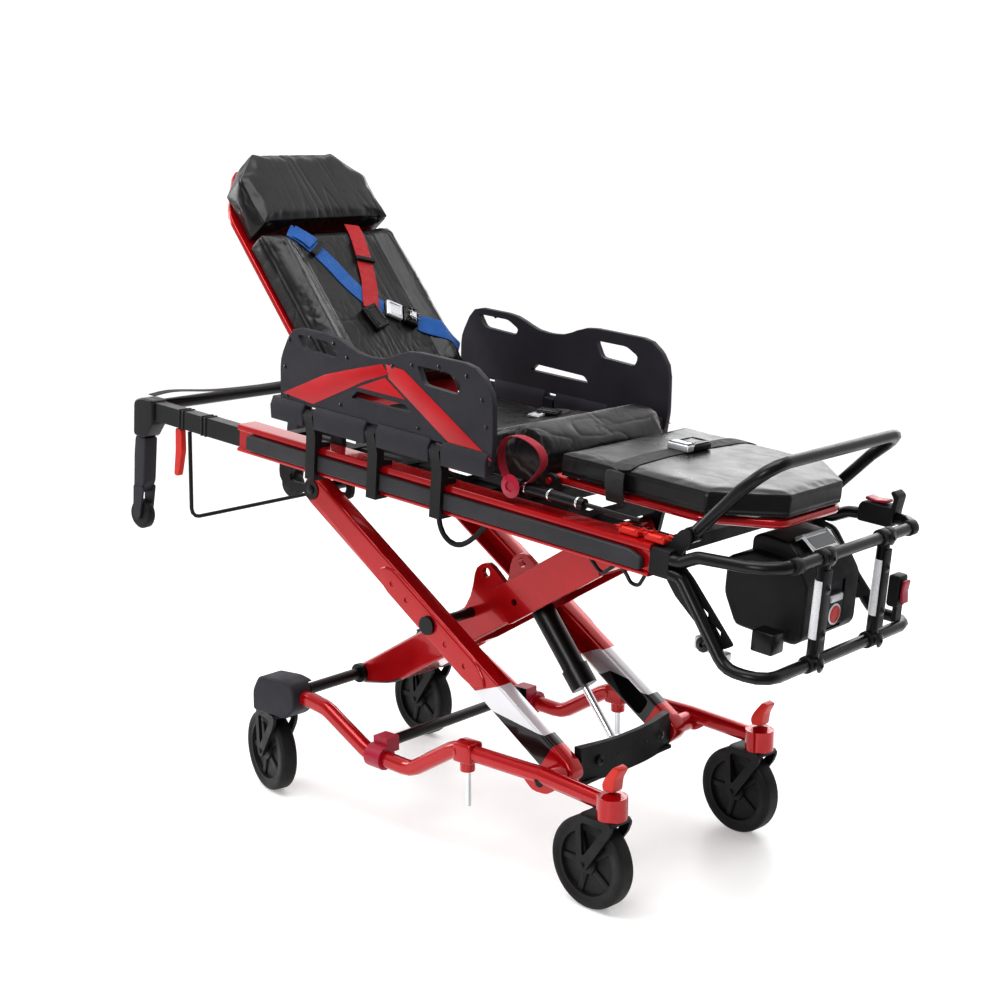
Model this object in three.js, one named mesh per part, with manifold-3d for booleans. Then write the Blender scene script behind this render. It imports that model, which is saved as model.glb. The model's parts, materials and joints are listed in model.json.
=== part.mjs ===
// Powered ambulance stretcher trolley: a wheeled base, a crossing pair of leg frames with an electric
// actuator, and a litter with a raised backrest, folding side boards and a foot-end cage.
// Millimetres, +Z up, +X towards the patient's feet, -Y the patient's right-hand side.
import * as THREE from 'three';
import { mergeVertices } from 'three/addons/utils/BufferGeometryUtils.js';
import Module from 'manifold-3d';

const wasm = await Module();
wasm.setup();

// ---------------------------------------------------------------- driving dimensions
const gap = 0.3;                 // seat clearance between pieces that touch
const running = 0.6;             // radial clearance of a pin in its bore

// Base and castors
const wheelBase = 1015;          // between the castor stems, lengthways
const track = 546;               // between the castor stems, across
const wheelRadius = 100;
const wheelWidth = 44;
const trail = 53;                // from the stem axis to the wheel axle
const crownHeight = 210;         // top of the castor fork
const stemRadius = 9;
const stemLength = 22;
const axleRadius = 6;
const railRadius = 19;           // base side tube
const railTrack = 540;           // between the base side tubes
const pinRadius = 10;            // leg pivot pins

// Crossing legs
const halfLeg = 463;             // pivot to crossing bolt, and crossing bolt to the upper pivots
const legAngle = 34;             // outer legs above the floor, degrees
const mastAngle = 31;            // line through the mast's pivots, degrees
const legPivotX = 318;
const legPivotZ = 240;
const legDepth = 66;
const legWidth = 44;
const legOuter = 209;            // outer face of the outer legs from the middle plane
const crossPinRadius = 12;
const mastHalfWidth = 70;
const mastDepth = 82;
const mastWall = 8;
const mastFootReach = 430;       // from the crossing bolt to the mast's foot axle
const footAxleRadius = 14;

// Litter
const litterTilt = 4.85;         // head end higher, degrees
const litterHeight = 855;        // top of the litter rails above the floor at mid length
const litterWidth = 580;         // over the side rails
const litterHead = -616;         // head end of the side rails from mid length
const litterFoot = 606;          // foot end of the side rails
const sideRailWidth = 60;
const sideRailDepth = 66;
const bumperProud = 10;
const cushionWidth = 450;
const backAngle = 46.7;          // backrest above the litter, degrees
const backHingeX = -345;
const backHingeZ = 46;
const backLength = 722;
const legCushionLength = 505;
const cushionThickness = 50;
const boardLength = 657;         // side boards, lengthways
const boardHeight = 205;
const cageTubeRadius = 13;
const handleTubeRadius = 13;

const rad = THREE.MathUtils.degToRad;

// ---------------------------------------------------------------- solids
// A geometry as a solid. What a boolean made keeps its own list of shared corners; any other is
// welded here.
function solid(geometry) {
  const seams = geometry.userData.seams;
  let bare = geometry;
  if (!seams) {
    bare = new THREE.BufferGeometry();
    bare.setAttribute('position', geometry.attributes.position.clone());
    if (geometry.index) bare.setIndex(geometry.index.clone());
    bare = mergeVertices(bare, 1e-3);
  }
  return new wasm.Manifold(new wasm.Mesh({
    numProp: 3,
    vertProperties: new Float32Array(bare.attributes.position.array),
    triVerts: new Uint32Array(bare.index.array),
    ...seams,
  }));
}

function geometryOf(body) {
  const mesh = body.getMesh();
  const geometry = new THREE.BufferGeometry();
  geometry.setAttribute('position', new THREE.BufferAttribute(mesh.vertProperties, 3));
  geometry.setIndex(new THREE.BufferAttribute(mesh.triVerts, 1));
  geometry.userData.seams = { mergeFromVert: mesh.mergeFromVert, mergeToVert: mesh.mergeToVert };
  return geometry;
}

const join = (...pieces) =>
  geometryOf(pieces.flat().map(solid).reduce((whole, next) => whole.add(next)));
const carve = (body, ...tools) =>
  geometryOf(tools.flat().map(solid).reduce((whole, tool) => whole.subtract(tool), solid(body)));

// The same piece on the other side of the middle plane, its triangles turned to face out again.
function mirrored(geometry) {
  const copy = geometryOf(solid(geometry));
  copy.scale(1, -1, 1);
  const corners = copy.index.array;
  for (let i = 0; i < corners.length; i += 3) {
    [corners[i], corners[i + 1]] = [corners[i + 1], corners[i]];
  }
  return copy;
}
const both = (geometry) => [geometry, mirrored(geometry)];

// ---------------------------------------------------------------- shapes
function block(x0, x1, y0, y1, z0, z1) {
  const box = new THREE.BoxGeometry(x1 - x0, y1 - y0, z1 - z0);
  return box.translate((x0 + x1) / 2, (y0 + y1) / 2, (z0 + z1) / 2);
}

function rod(from, to, radius, sides = 12, endRadius = radius) {
  const a = new THREE.Vector3(...from);
  const b = new THREE.Vector3(...to);
  const along = b.clone().sub(a);
  const geometry = new THREE.CylinderGeometry(endRadius, radius, along.length(), sides);
  const turn = new THREE.Quaternion().setFromUnitVectors(
    new THREE.Vector3(0, 1, 0), along.clone().normalize());
  geometry.applyQuaternion(turn);
  return geometry.translate((a.x + b.x) / 2, (a.y + b.y) / 2, (a.z + b.z) / 2);
}
const crossRod = (x, z, halfSpan, radius, sides = 12) =>
  rod([x, -halfSpan, z], [x, halfSpan, z], radius, sides);

// A closed outline whose corners are rounded. Each point is [u, v] or [u, v, radius].
function outline(points, radius = 0) {
  const shape = new THREE.Shape();
  const count = points.length;
  for (let i = 0; i < count; i += 1) {
    const [u, v, own] = points[i];
    const r = own ?? radius;
    const here = new THREE.Vector2(u, v);
    const before = new THREE.Vector2(...points[(i + count - 1) % count]).sub(here);
    const after = new THREE.Vector2(...points[(i + 1) % count]).sub(here);
    const reach = Math.min(r, before.length() * 0.42, after.length() * 0.42);
    const start = here.clone().addScaledVector(before.normalize(), reach);
    const end = here.clone().addScaledVector(after.normalize(), reach);
    if (i === 0) shape.moveTo(start.x, start.y);
    else shape.lineTo(start.x, start.y);
    if (reach > 0) shape.quadraticCurveTo(u, v, end.x, end.y);
  }
  shape.closePath();
  return shape;
}
const rect = (u0, u1, v0, v1, r = 0) => outline([[u0, v0], [u1, v0], [u1, v1], [u0, v1]], r);

function extruded(shape, depth, bevel, curveSegments = 2) {
  const geometry = new THREE.ExtrudeGeometry(shape, {
    depth: depth - 2 * bevel, bevelEnabled: bevel > 0, bevelThickness: bevel, bevelSize: bevel,
    bevelOffset: -bevel, bevelSegments: 1, steps: 1, curveSegments,
  });
  return geometry.translate(0, 0, bevel);
}
// A side outline (x, z) given its thickness from y0 to y1.
function slab(shape, y0, y1, bevel = 0, curveSegments = 2) {
  return extruded(shape, y1 - y0, bevel, curveSegments).rotateX(Math.PI / 2).translate(0, y1, 0);
}
// A plan outline (x, y) given its height from z0 to z1.
function plan(shape, z0, z1, bevel = 0, curveSegments = 2) {
  return extruded(shape, z1 - z0, bevel, curveSegments).translate(0, 0, z0);
}
// A cross-section (y, z) run lengthways from x0 to x1.
function lengthways(shape, x0, x1, bevel = 0, curveSegments = 2) {
  const turn = new THREE.Matrix4().makeBasis(
    new THREE.Vector3(0, 1, 0), new THREE.Vector3(0, 0, 1), new THREE.Vector3(1, 0, 0));
  return extruded(shape, x1 - x0, bevel, curveSegments).applyMatrix4(turn).translate(x0, 0, 0);
}

// A run of straight stretches joined by true arcs, with a section only where the tube bends.
class BentLine extends THREE.Curve {
  constructor(points, bend, arcSteps = 4) {
    super();
    const p = points.map((q) => new THREE.Vector3(...q));
    this.places = [];
    this.headings = [];
    const add = (place, heading) => {
      this.places.push(place.clone());
      this.headings.push(heading.clone().normalize());
    };
    add(p[0], p[1].clone().sub(p[0]));
    for (let i = 1; i < p.length - 1; i += 1) {
      const inward = p[i].clone().sub(p[i - 1]);
      const outward = p[i + 1].clone().sub(p[i]);
      const room = Math.min(inward.length(), outward.length()) * 0.49;
      inward.normalize();
      outward.normalize();
      const turn = inward.angleTo(outward);
      const reach = Math.min((points[i][3] ?? bend) * Math.tan(turn / 2), room);
      const radius = reach / Math.tan(turn / 2);
      const axis = inward.clone().cross(outward).normalize();
      const start = p[i].clone().addScaledVector(inward, -reach);
      const centre = start.clone().addScaledVector(axis.clone().cross(inward), radius);
      for (let k = 0; k <= arcSteps; k += 1) {
        const angle = turn * k / arcSteps;
        const place = start.clone().sub(centre).applyAxisAngle(axis, angle).add(centre);
        add(place, inward.clone().applyAxisAngle(axis, angle));
      }
    }
    add(p[p.length - 1], p[p.length - 1].clone().sub(p[p.length - 2]));
  }
  get steps() {
    return this.places.length - 1;
  }
  pick(list, u) {
    const f = u * this.steps;
    const i = Math.min(Math.floor(f + 1e-9), this.steps - 1);
    return list[i].clone().lerp(list[i + 1], f - i);
  }
  getPoint(u) { return this.pick(this.places, u); }
  getPointAt(u) { return this.pick(this.places, u); }
  getTangentAt(u) { return this.pick(this.headings, u).normalize(); }
  getTangent(u) { return this.getTangentAt(u); }
}

function ring(radius, sides) {
  const shape = new THREE.Shape();
  for (let i = 0; i < sides; i += 1) {
    const angle = 2 * Math.PI * i / sides;
    const [u, v] = [radius * Math.cos(angle), radius * Math.sin(angle)];
    if (i === 0) shape.moveTo(u, v);
    else shape.lineTo(u, v);
  }
  shape.closePath();
  return shape;
}

function tube(points, radius, { bend = 40, sides = 8, arcSteps = 3 } = {}) {
  const path = new BentLine(points, bend, arcSteps);
  return new THREE.ExtrudeGeometry(ring(radius, sides), {
    extrudePath: path, steps: path.steps, bevelEnabled: false,
  });
}

// ---------------------------------------------------------------- finishes
const finish = (color, roughness, metalness) => ({ color, roughness, metalness });
const redPaint = finish(0xb5121b, 0.28, 0.35);
const crimsonPlastic = finish(0xa3123a, 0.4, 0);
const satinBlack = finish(0x1b1a1c, 0.38, 0.3);
const blackPlastic = finish(0x17171a, 0.5, 0);
const greyPlastic = finish(0x3b3a42, 0.55, 0);
const bumperRubber = finish(0x46464c, 0.7, 0);
const tyreRubber = finish(0x141416, 0.75, 0);
const steel = finish(0xb9bcc0, 0.25, 1);
const vinyl = finish(0x161518, 0.42, 0);
const pedalOrange = finish(0xc2361f, 0.45, 0);

const model = new THREE.Group();

function part(name, geometry, look, parent) {
  const mesh = new THREE.Mesh(geometry, new THREE.MeshStandardMaterial(look));
  mesh.name = name;
  parent.add(mesh);
  return mesh;
}
// The right-hand piece as drawn and its mirror image on the left.
function pair(name, geometry, look, parent) {
  part(`${name}_r`, geometry, look, parent);
  part(`${name}_l`, mirrored(geometry), look, parent);
}

// ---------------------------------------------------------------- castors
const headStem = -wheelBase / 2;
const footStem = wheelBase / 2;
const forkInside = wheelWidth / 2 + 3;
const forkThick = 8;
const stemBore = stemRadius + running;

function wheelGeometry() {
  const half = wheelWidth / 2;
  const rimInner = wheelRadius - 22;
  const bore = axleRadius + running;
  const hub = 17;
  const web = 4;
  const profile = [
    [bore, -half + 2], [hub, -half + 2], [hub + 2, -web], [rimInner, -web], [rimInner, -half + 5],
    [wheelRadius - 9, -half], [wheelRadius, -half + 9], [wheelRadius, half - 9],
    [wheelRadius - 9, half], [rimInner, half - 5], [rimInner, web], [hub + 2, web], [hub, half - 2],
    [bore, half - 2], [bore, -half + 2],
  ].map(([r, y]) => new THREE.Vector2(r, y));
  const body = new THREE.LatheGeometry(profile, 20);
  const windows = [];
  const spokes = [];
  for (let i = 0; i < 5; i += 1) {
    const angle = 2 * Math.PI * i / 5;
    const window = outline([[rimInner - 6, -22], [rimInner - 6, 22], [hub + 16, 6], [hub + 16, -6]], 6);
    windows.push(slab(window, -half, half, 0, 1).rotateY(angle));
    spokes.push(block(hub - 2, rimInner + 2, -half + 6, half - 6, -3, 3).rotateY(angle + Math.PI / 5));
  }
  return join(carve(body, windows), spokes);
}

function forkGeometry() {
  const arm = outline([
    [-trail - 16, wheelRadius + 2], [-trail - 8, wheelRadius - 14], [-trail + 8, wheelRadius - 14],
    [-trail + 16, wheelRadius], [24, crownHeight - 24], [28, crownHeight], [-66, crownHeight],
    [-72, crownHeight - 20],
  ], 8);
  const eye = outline([[-trail, wheelRadius + 18], [6, crownHeight - 16], [-58, crownHeight - 16]], 6);
  const cheek = carve(slab(arm, forkInside, forkInside + forkThick, 0, 1),
    slab(eye, forkInside - 1, forkInside + forkThick + 1, 0, 1));
  const half = forkInside + forkThick;
  const crown = plan(outline([[-66, -half], [28, -half], [28, half], [-66, half]], 14),
    wheelRadius * 2 + 2.5, crownHeight, 0, 2);
  return join(both(cheek), crown, rod([0, 0, crownHeight - 2], [0, 0, crownHeight + stemLength], stemRadius),
    rod([-trail, -half - 3, wheelRadius], [-trail, half + 3, wheelRadius], axleRadius, 12));
}

const castors = [
  ['head_r', headStem, -track / 2, 165], ['head_l', headStem, track / 2, 174],
  ['foot_r', footStem, -track / 2, 176], ['foot_l', footStem, track / 2, 174],
];
for (const [place, x, y, yaw] of castors) {
  const castor = new THREE.Group();
  castor.position.set(x, y, 0);
  castor.rotation.z = rad(yaw - 180);
  model.add(castor);
  part(`castor_fork_${place}`, forkGeometry(), blackPlastic, castor);
  const wheel = part(`castor_wheel_${place}`, wheelGeometry(), tyreRubber, castor);
  wheel.position.set(-trail, 0, wheelRadius);
}

// ---------------------------------------------------------------- base frame
const baseTop = crownHeight + gap;           // underside of what the castors carry
const railSide = -railTrack / 2;
const stemSide = -track / 2;
const housingFoot = headStem + 86;           // foot-side face of the head castor housing
const stemHoleDepth = stemLength + 2;
const legInner = legOuter - legWidth;
const bossFace = legOuter + 1;

const baseLine = [
  [housingFoot + gap, railSide, 262], [housingFoot + 24, railSide, 262, 30], [headStem + 162, railSide, 254], [headStem + 302, railSide, 178],
  [headStem + 438, railSide, 171], [footStem - 438, railSide, 256], [legPivotX, railSide, 254],
  [footStem, stemSide, 238],
];
const baseTube = tube(baseLine, railRadius, { bend: 70, sides: 10, arcSteps: 2 });
const footCap = join(
  rod([footStem, stemSide, baseTop], [footStem, stemSide, 258], 33, 18),
  rod([footStem, stemSide, 256], [footStem, stemSide, 266], 30, 18, 20));
const legBoss = rod([legPivotX, -bossFace, legPivotZ], [legPivotX, railSide, legPivotZ], 23, 16);
const bossWeb = slab(outline([[legPivotX - 60, 252], [legPivotX - 20, 218], [legPivotX + 20, 218],
  [legPivotX + 66, 250]], 10), railSide - 9, railSide + 9);
const baseRail = carve(join(baseTube, footCap, legBoss, bossWeb),
  rod([footStem, stemSide, baseTop - 1], [footStem, stemSide, baseTop + stemHoleDepth], stemBore),
  rod([legPivotX, -bossFace + 5, legPivotZ], [legPivotX, railSide - 40, legPivotZ], pinRadius + gap));
pair('base_rail', baseRail, redPaint, model);

// Head castor housings, with a channel for the roller on the mast's foot axle
const mastFoot = [0, 0];
const crossX = legPivotX - halfLeg * Math.cos(rad(legAngle));
const crossZ = legPivotZ + halfLeg * Math.sin(rad(legAngle));
mastFoot[0] = crossX - mastFootReach * Math.cos(rad(mastAngle));
mastFoot[1] = crossZ - mastFootReach * Math.sin(rad(mastAngle));
const housingInner = stemSide + 38;
const housingOuter = stemSide - 36;
const axleReach = -housingInner + 14;        // half length of the mast's foot axle
const housingShape = outline([
  [headStem - 62, baseTop], [headStem - 62, 262], [headStem - 40, 300], [headStem + 40, 306],
  [housingFoot - 10, 300], [housingFoot, 284], [housingFoot, 240], [headStem + 52, baseTop],
], 10);
const housing = carve(slab(housingShape, housingOuter, housingInner, 5),
  rod([headStem, stemSide, baseTop - 1], [headStem, stemSide, baseTop + stemHoleDepth], stemBore),
  block(headStem - 80, housingFoot + 10, -axleReach - 2, housingInner + 1,
    mastFoot[1] - footAxleRadius - 10, mastFoot[1] + footAxleRadius + 5));
pair('castor_housing', housing, greyPlastic, model);

// Cross tube between the two base rails, held by a clamp ring round each
const crossTubeX = headStem + 335;
const clampLine = [[crossTubeX - 24, railSide, 178.5], [crossTubeX + 24, railSide, 177]];
const clamp = rod(clampLine[0], clampLine[1], railRadius + 9, 14);
const crossTube = carve(
  join(both(clamp), both(block(crossTubeX - 22, crossTubeX + 22, railSide + 4, railSide + 44, 186, 222)),
    crossRod(crossTubeX, 204, -railSide - 20, 13)),
  both(tube(baseLine, railRadius + gap, { bend: 70, sides: 10, arcSteps: 2 })));
part('base_cross_tube', crossTube, satinBlack, model);

// Foot beam between the legs: a bowed panel, a trough for the actuator's rod end, and the leg pivot pins
const beamHalf = legInner - 3;
const beamPanel = plan(outline([
  [legPivotX - 2, -beamHalf, 4], [legPivotX + 18, -beamHalf, 4], [legPivotX + 36, -60, 60],
  [legPivotX + 36, 60, 60], [legPivotX + 18, beamHalf, 4], [legPivotX - 2, beamHalf, 4],
  [legPivotX + 24, 60, 60], [legPivotX + 24, -60, 60],
], 0), 206, 288, 0, 4);
const beamCheek = slab(outline([[legPivotX - 22, 214], [legPivotX + 20, 208], [legPivotX + 20, 276],
  [legPivotX - 22, 262]], 10), beamHalf - 22, beamHalf);
const beamFloor = block(legPivotX - 40, legPivotX + 28, -beamHalf + 6, beamHalf - 6, 206, 214);
const legPin = rod([legPivotX, -beamHalf + 10, legPivotZ], [legPivotX, railSide - 12, legPivotZ], pinRadius);
part('foot_beam', join(beamPanel, both(mirrored(beamCheek)), beamFloor, both(legPin)), blackPlastic, model);

// Steel pins under the base rails that lock the trolley in the vehicle
const fixingX = 104;
const fixingPin = join(rod([fixingX, railSide, 130], [fixingX, railSide, 226], 8, 12),
  rod([fixingX, railSide, 222], [fixingX, railSide, 236 - gap], 14, 12));
pair('fixing_pin', fixingPin, steel, model);

// Brake pedals on the foot castor caps
const pedalX = footStem;
const pedal = join(
  slab(outline([[pedalX - 14, 270.5], [pedalX + 14, 270.5], [pedalX + 18, 300], [pedalX + 30, 322],
    [pedalX + 14, 328], [pedalX - 8, 300], [pedalX - 16, 284]], 5), stemSide - 17, stemSide + 17, 3));
pair('brake_pedal', pedal, pedalOrange, model);

// ---------------------------------------------------------------- crossing legs
// Drawn lying along +X from the foot pivot, then turned up to the leg angle and on towards the head.
const legLength = 2 * halfLeg;
const endRadius = legDepth / 2;
function legGeometry() {
  const body = slab(outline([
    [-30, -20], [0, -endRadius], [legLength, -endRadius], [legLength + 30, -18],
    [legLength + 30, 18], [legLength, endRadius], [0, endRadius], [-30, 20],
  ], 14), -legOuter, -legInner, 5);
  const shell = slab(outline([[300, -30], [620, -30], [660, 0], [620, 30], [300, 30], [250, 0]], 26),
    -legOuter - 6, -legOuter + 6, 4);
  const pockets = [[70, halfLeg - 60], [halfLeg + 60, legLength - 60]].map(([u0, u1]) =>
    slab(rect(u0, u1, -endRadius + 9, endRadius - 9, 12), -legInner - legWidth + 10, -legInner + 1));
  const dimples = [330, 400, 545, 600].map((u) => rod([u, -legOuter - 10, 0], [u, -legOuter - 3, 0], 7, 8));
  return carve(join(body, shell), pockets, dimples,
    rod([0, -legOuter - 1, 0], [0, -legInner + 1, 0], pinRadius + running),
    rod([halfLeg, -legOuter - 9, 0], [halfLeg, -legInner + 1, 0], crossPinRadius + gap),
    rod([legLength, -legOuter - 1, 0], [legLength, -legInner + 1, 0], footAxleRadius - 2 + gap));
}
// Turned through legAngle and facing the head end: +X becomes up and towards -X.
function raised(geometry, angle, x, z) {
  return geometry.rotateY(-rad(angle)).translate(x, 0, z);
}
const headward = 180 - legAngle;
const leg = raised(legGeometry(), headward, legPivotX, legPivotZ);
pair('outer_leg', leg, redPaint, model);
const topX = legPivotX - legLength * Math.cos(rad(legAngle));
const topZ = legPivotZ + legLength * Math.sin(rad(legAngle));
part('leg_top_shaft', join(crossRod(topX, topZ, legOuter - 4, footAxleRadius - 2),
  both(rod([topX, -legInner + 2, topZ], [topX, -legInner + 8, topZ], 20))), satinBlack, model);
part('crossing_bolt', join(crossRod(crossX, crossZ, legOuter + 12, crossPinRadius),
  both(rod([crossX, -legOuter - 14, crossZ], [crossX, -legOuter - 6 - gap, crossZ], 22))),
  satinBlack, model);

// The mast: an inverted channel with an ear on top, drawn along +X from the crossing bolt.
const litterPivotX = crossX + halfLeg * Math.cos(rad(mastAngle));
const litterPivotZ = crossZ + halfLeg * Math.sin(rad(mastAngle));
const mastDrop = 22;                         // the channel hangs this far below its pivot line
const mastTop = mastDepth / 2 - mastDrop;
const mastBottom = -mastDepth / 2 - mastDrop;
const actuatorU = 141;                       // actuator pivot from the crossing bolt, along the mast
const actuatorW = -28;
const sleeveU = 96;                          // where the thicker upper stretch begins
function mastGeometry() {
  const body = slab(outline([
    [-mastFootReach - 20, -22, 14], [-mastFootReach - 20, 20, 14], [-mastFootReach + 60, mastTop, 40],
    [halfLeg - 40, mastTop, 20], [halfLeg - 10, 26, 20], [halfLeg + 24, 20, 20], [halfLeg + 24, -20, 20],
    [halfLeg - 30, mastBottom, 20], [-mastFootReach + 90, mastBottom, 30],
  ], 0), -mastHalfWidth, mastHalfWidth, 6);
  const sleeve = slab(rect(sleeveU, halfLeg - 60, mastBottom - 4, mastTop + 4, 4),
    -mastHalfWidth - 5, mastHalfWidth + 5, 2);
  const channel = slab(outline([[-80, mastBottom - 10], [-60, mastTop - mastWall],
    [halfLeg - 70, mastTop - mastWall], [halfLeg - 60, mastBottom - 10]], 8),
  -mastHalfWidth + mastWall, mastHalfWidth - mastWall);
  const ear = slab(outline([[-40, mastTop - 12, 4], [20, mastTop + 14, 40], [70, 88, 26], [112, 84, 26],
    [136, mastTop - 8, 4]], 0), -mastHalfWidth, -mastHalfWidth + 14);
  const earHole = crossRod(92, 64, mastHalfWidth + 20, 12);
  return carve(join(body, sleeve, both(ear)), channel, earHole,
    crossRod(0, 0, mastHalfWidth + 10, crossPinRadius + running),
    crossRod(actuatorU, actuatorW, mastHalfWidth + 10, 8 + gap),
    crossRod(halfLeg, 0, mastHalfWidth + 10, crossPinRadius + running));
}
const footAxle = join(crossRod(-mastFootReach, 0, axleReach, footAxleRadius),
  both(rod([-mastFootReach, -mastHalfWidth - 12, 0], [-mastFootReach, -mastHalfWidth + 2, 0], 24)));
part('mast', raised(join(mastGeometry(), footAxle), mastAngle, crossX, crossZ), redPaint, model);

// Electric actuator: the barrel hangs from a cross pin in the mast, the rod runs down to the foot beam
const turnMast = (u, w) => [
  crossX + u * Math.cos(rad(mastAngle)) - w * Math.sin(rad(mastAngle)),
  crossZ + u * Math.sin(rad(mastAngle)) + w * Math.cos(rad(mastAngle)),
];
const [actuatorX, actuatorZ] = turnMast(actuatorU, actuatorW);
const rodEyeX = legPivotX - 17;
const rodEyeZ = legPivotZ + 14;
const actuatorLength = Math.hypot(rodEyeX - actuatorX, rodEyeZ - actuatorZ);
const actuatorAngle = Math.atan2(actuatorZ - rodEyeZ, rodEyeX - actuatorX);
const barrelRadius = 27;
const rodRadius = 9;
const barrelLength = 236;
function barrelGeometry() {
  const shell = rod([-22, 0, 0], [barrelLength - 46, 0, 0], barrelRadius, 16);
  const collar = rod([barrelLength - 50, 0, 0], [barrelLength, 0, 0], barrelRadius + 5, 12);
  const motor = rod([0, 0, 0], [104, 0, 0], 21, 16).rotateY(Math.PI - rad(mastAngle) - actuatorAngle);
  return carve(join(shell, collar, motor, crossRod(0, 0, mastHalfWidth - 3, 8)),
    rod([20, 0, 0], [barrelLength + 1, 0, 0], rodRadius + running, 14));
}
function actuatorPlaced(geometry) {
  return geometry.rotateY(actuatorAngle).translate(actuatorX, 0, actuatorZ);
}
part('actuator_barrel', actuatorPlaced(barrelGeometry()), satinBlack, model);
part('actuator_rod', actuatorPlaced(join(rod([130, 0, 0], [actuatorLength, 0, 0], rodRadius, 14),
  crossRod(actuatorLength, 0, 13, 13))), steel, model);

// ---------------------------------------------------------------- litter
const litter = new THREE.Group();
litter.position.set(0, 0, litterHeight);
litter.rotation.y = rad(litterTilt);
model.add(litter);
// A place in the trolley's frame seen in the litter's own tilted frame.
function inLitter(x, z) {
  const [c, s] = [Math.cos(rad(litterTilt)), Math.sin(rad(litterTilt))];
  return [x * c - (z - litterHeight) * s, x * s + (z - litterHeight) * c];
}
const railOuter = -litterWidth / 2;
const railInner = railOuter + sideRailWidth;
const headTubeWidth = 34;
const headTubeDepth = 46;
const headTubeY = railOuter + 14 + headTubeWidth / 2;
const headTubeZ = -36;
const headTravel = 100;
const headTubeInner = litterHead + 96;
const clipPlaces = [-343, -144, 50];
const hingeY = railOuter - 14;
const hingeZ = 70;
const hingeRodRadius = 8;

function sideRailGeometry() {
  const grooveDepth = 7;
  const section = outline([
    [railOuter, 0, 6], [railOuter, -14, 2], [railOuter + grooveDepth, -16, 1],
    [railOuter + grooveDepth, -56, 1], [railOuter, -58, 2], [railOuter, -sideRailDepth, 6],
    [railInner, -sideRailDepth, 6], [railInner, -52, 1], [railInner - 12, -46, 1],
    [railInner - 12, -20, 1], [railInner, -14, 1], [railInner, 0, 6],
  ]);
  const rail = lengthways(section, litterHead, litterFoot, 0, 2);
  const pocket = block(litterHead - 1, headTubeInner + headTravel + 10,
    headTubeY - headTubeWidth / 2 - 1, headTubeY + headTubeWidth / 2 + 1,
    headTubeZ - headTubeDepth / 2 - 1, headTubeZ + headTubeDepth / 2 + 1);
  const clips = clipPlaces.map((x) => {
    const strap = lengthways(outline([
      [railOuter + 30, -2], [railOuter + 30, 10], [railOuter + 4, 14], [hingeY + 17, hingeZ + 10],
      [hingeY + 8, hingeZ + 18], [hingeY - 8, hingeZ + 18], [hingeY - 17, hingeZ + 6],
      [railOuter - bumperProud - 8, 30], [railOuter - bumperProud - 8, -sideRailDepth - 8],
      [railOuter + 20, -sideRailDepth - 8], [railOuter + 20, -sideRailDepth + 3],
      [railOuter - bumperProud - 1, -sideRailDepth + 3], [railOuter - bumperProud - 1, -2],
    ], 0), x - 15, x + 15);
    return carve(strap, rod([x - 20, hingeY, hingeZ], [x + 20, hingeY, hingeZ], hingeRodRadius + running));
  });
  return join(carve(rail, pocket), clips);
}
pair('side_rail', sideRailGeometry(), redPaint, litter);

const bumperSide = outline([
  [litterHead + 40, -54, 8], [litterHead + 40, -18, 8], [litterFoot - 46, -18, 10],
  [litterFoot - 14, -30, 6], [litterFoot - 14, -54, 6],
]);
const bumperClear = clipPlaces.map((x) => block(x - 18, x + 18, railOuter - bumperProud - 20,
  railOuter - bumperProud + 3, -70, 0));
pair('bumper', carve(slab(bumperSide, railOuter - bumperProud, railOuter + 7 - gap, 3), bumperClear),
  bumperRubber, litter);

// Chassis: cross members, two stringers, slotted tracks for the legs' top shaft, and hinge lugs
const [trackX, trackZ] = inLitter(topX, topZ);
const [liftX, liftZ] = inLitter(litterPivotX, litterPivotZ);
const stringerY = 128;
const memberHalf = -railInner - gap;
const legHingeX = 292;
const legHingeZ = 50;
const hoseEnds = [-80, 84];
const hoseY = -152;
function chassisGeometry() {
  const members = [-560, -372, -190, -10, 168, liftX, 560].map((x) =>
    block(x - 16, x + 16, -memberHalf, memberHalf, -52, -24));
  const stringers = both(block(-576, 576, -stringerY - 10, -stringerY + 10, -50, -26));
  const plate = slab(outline([
    [trackX - 196, -40, 8], [trackX + 60, -40, 8], [trackX + 60, trackZ - 20, 14],
    [trackX + 20, trackZ - 36, 14], [trackX - 170, trackZ - 44, 14], [trackX - 196, trackZ - 20, 14],
  ], 0), -stringerY - 8, -stringerY + 4);
  const slot = slab(outline([
    [trackX - 158, trackZ - 24, 14], [trackX + 42, trackZ - 13, 14], [trackX + 42, trackZ + 18, 14],
    [trackX - 158, trackZ + 8, 14],
  ], 0), -stringerY - 12, -stringerY + 8);
  const lug = slab(outline([[liftX - 30, -40], [liftX + 30, -40], [liftX + 18, liftZ - 18],
    [liftX - 18, liftZ - 18]], 12), -mastHalfWidth - 24, -mastHalfWidth - 12);
  const backLug = slab(outline([[backHingeX - 26, -40], [backHingeX + 22, -40],
    [backHingeX + 15, backHingeZ + 15], [backHingeX - 15, backHingeZ + 15]], 10), -224, -212);
  const legLug = slab(outline([[legHingeX - 14, -30], [liftX + 10, -30], [legHingeX + 14, legHingeZ + 14],
    [legHingeX - 14, legHingeZ + 14]], 8), -224, -212);
  const hoseClips = hoseEnds.map((x) => block(x - 13, x + 13, hoseY - 12, -stringerY, -62 + gap, -30));
  const topPin = crossRod(liftX, liftZ, mastHalfWidth + 28, crossPinRadius);
  return carve(join(members, stringers, both(plate), both(lug), both(backLug), both(legLug), hoseClips, topPin),
    both(slot), crossRod(backHingeX, backHingeZ, 240, 8 + running), crossRod(legHingeX, legHingeZ, 240, 7 + running));
}
part('chassis', chassisGeometry(), blackPlastic, litter);

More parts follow.
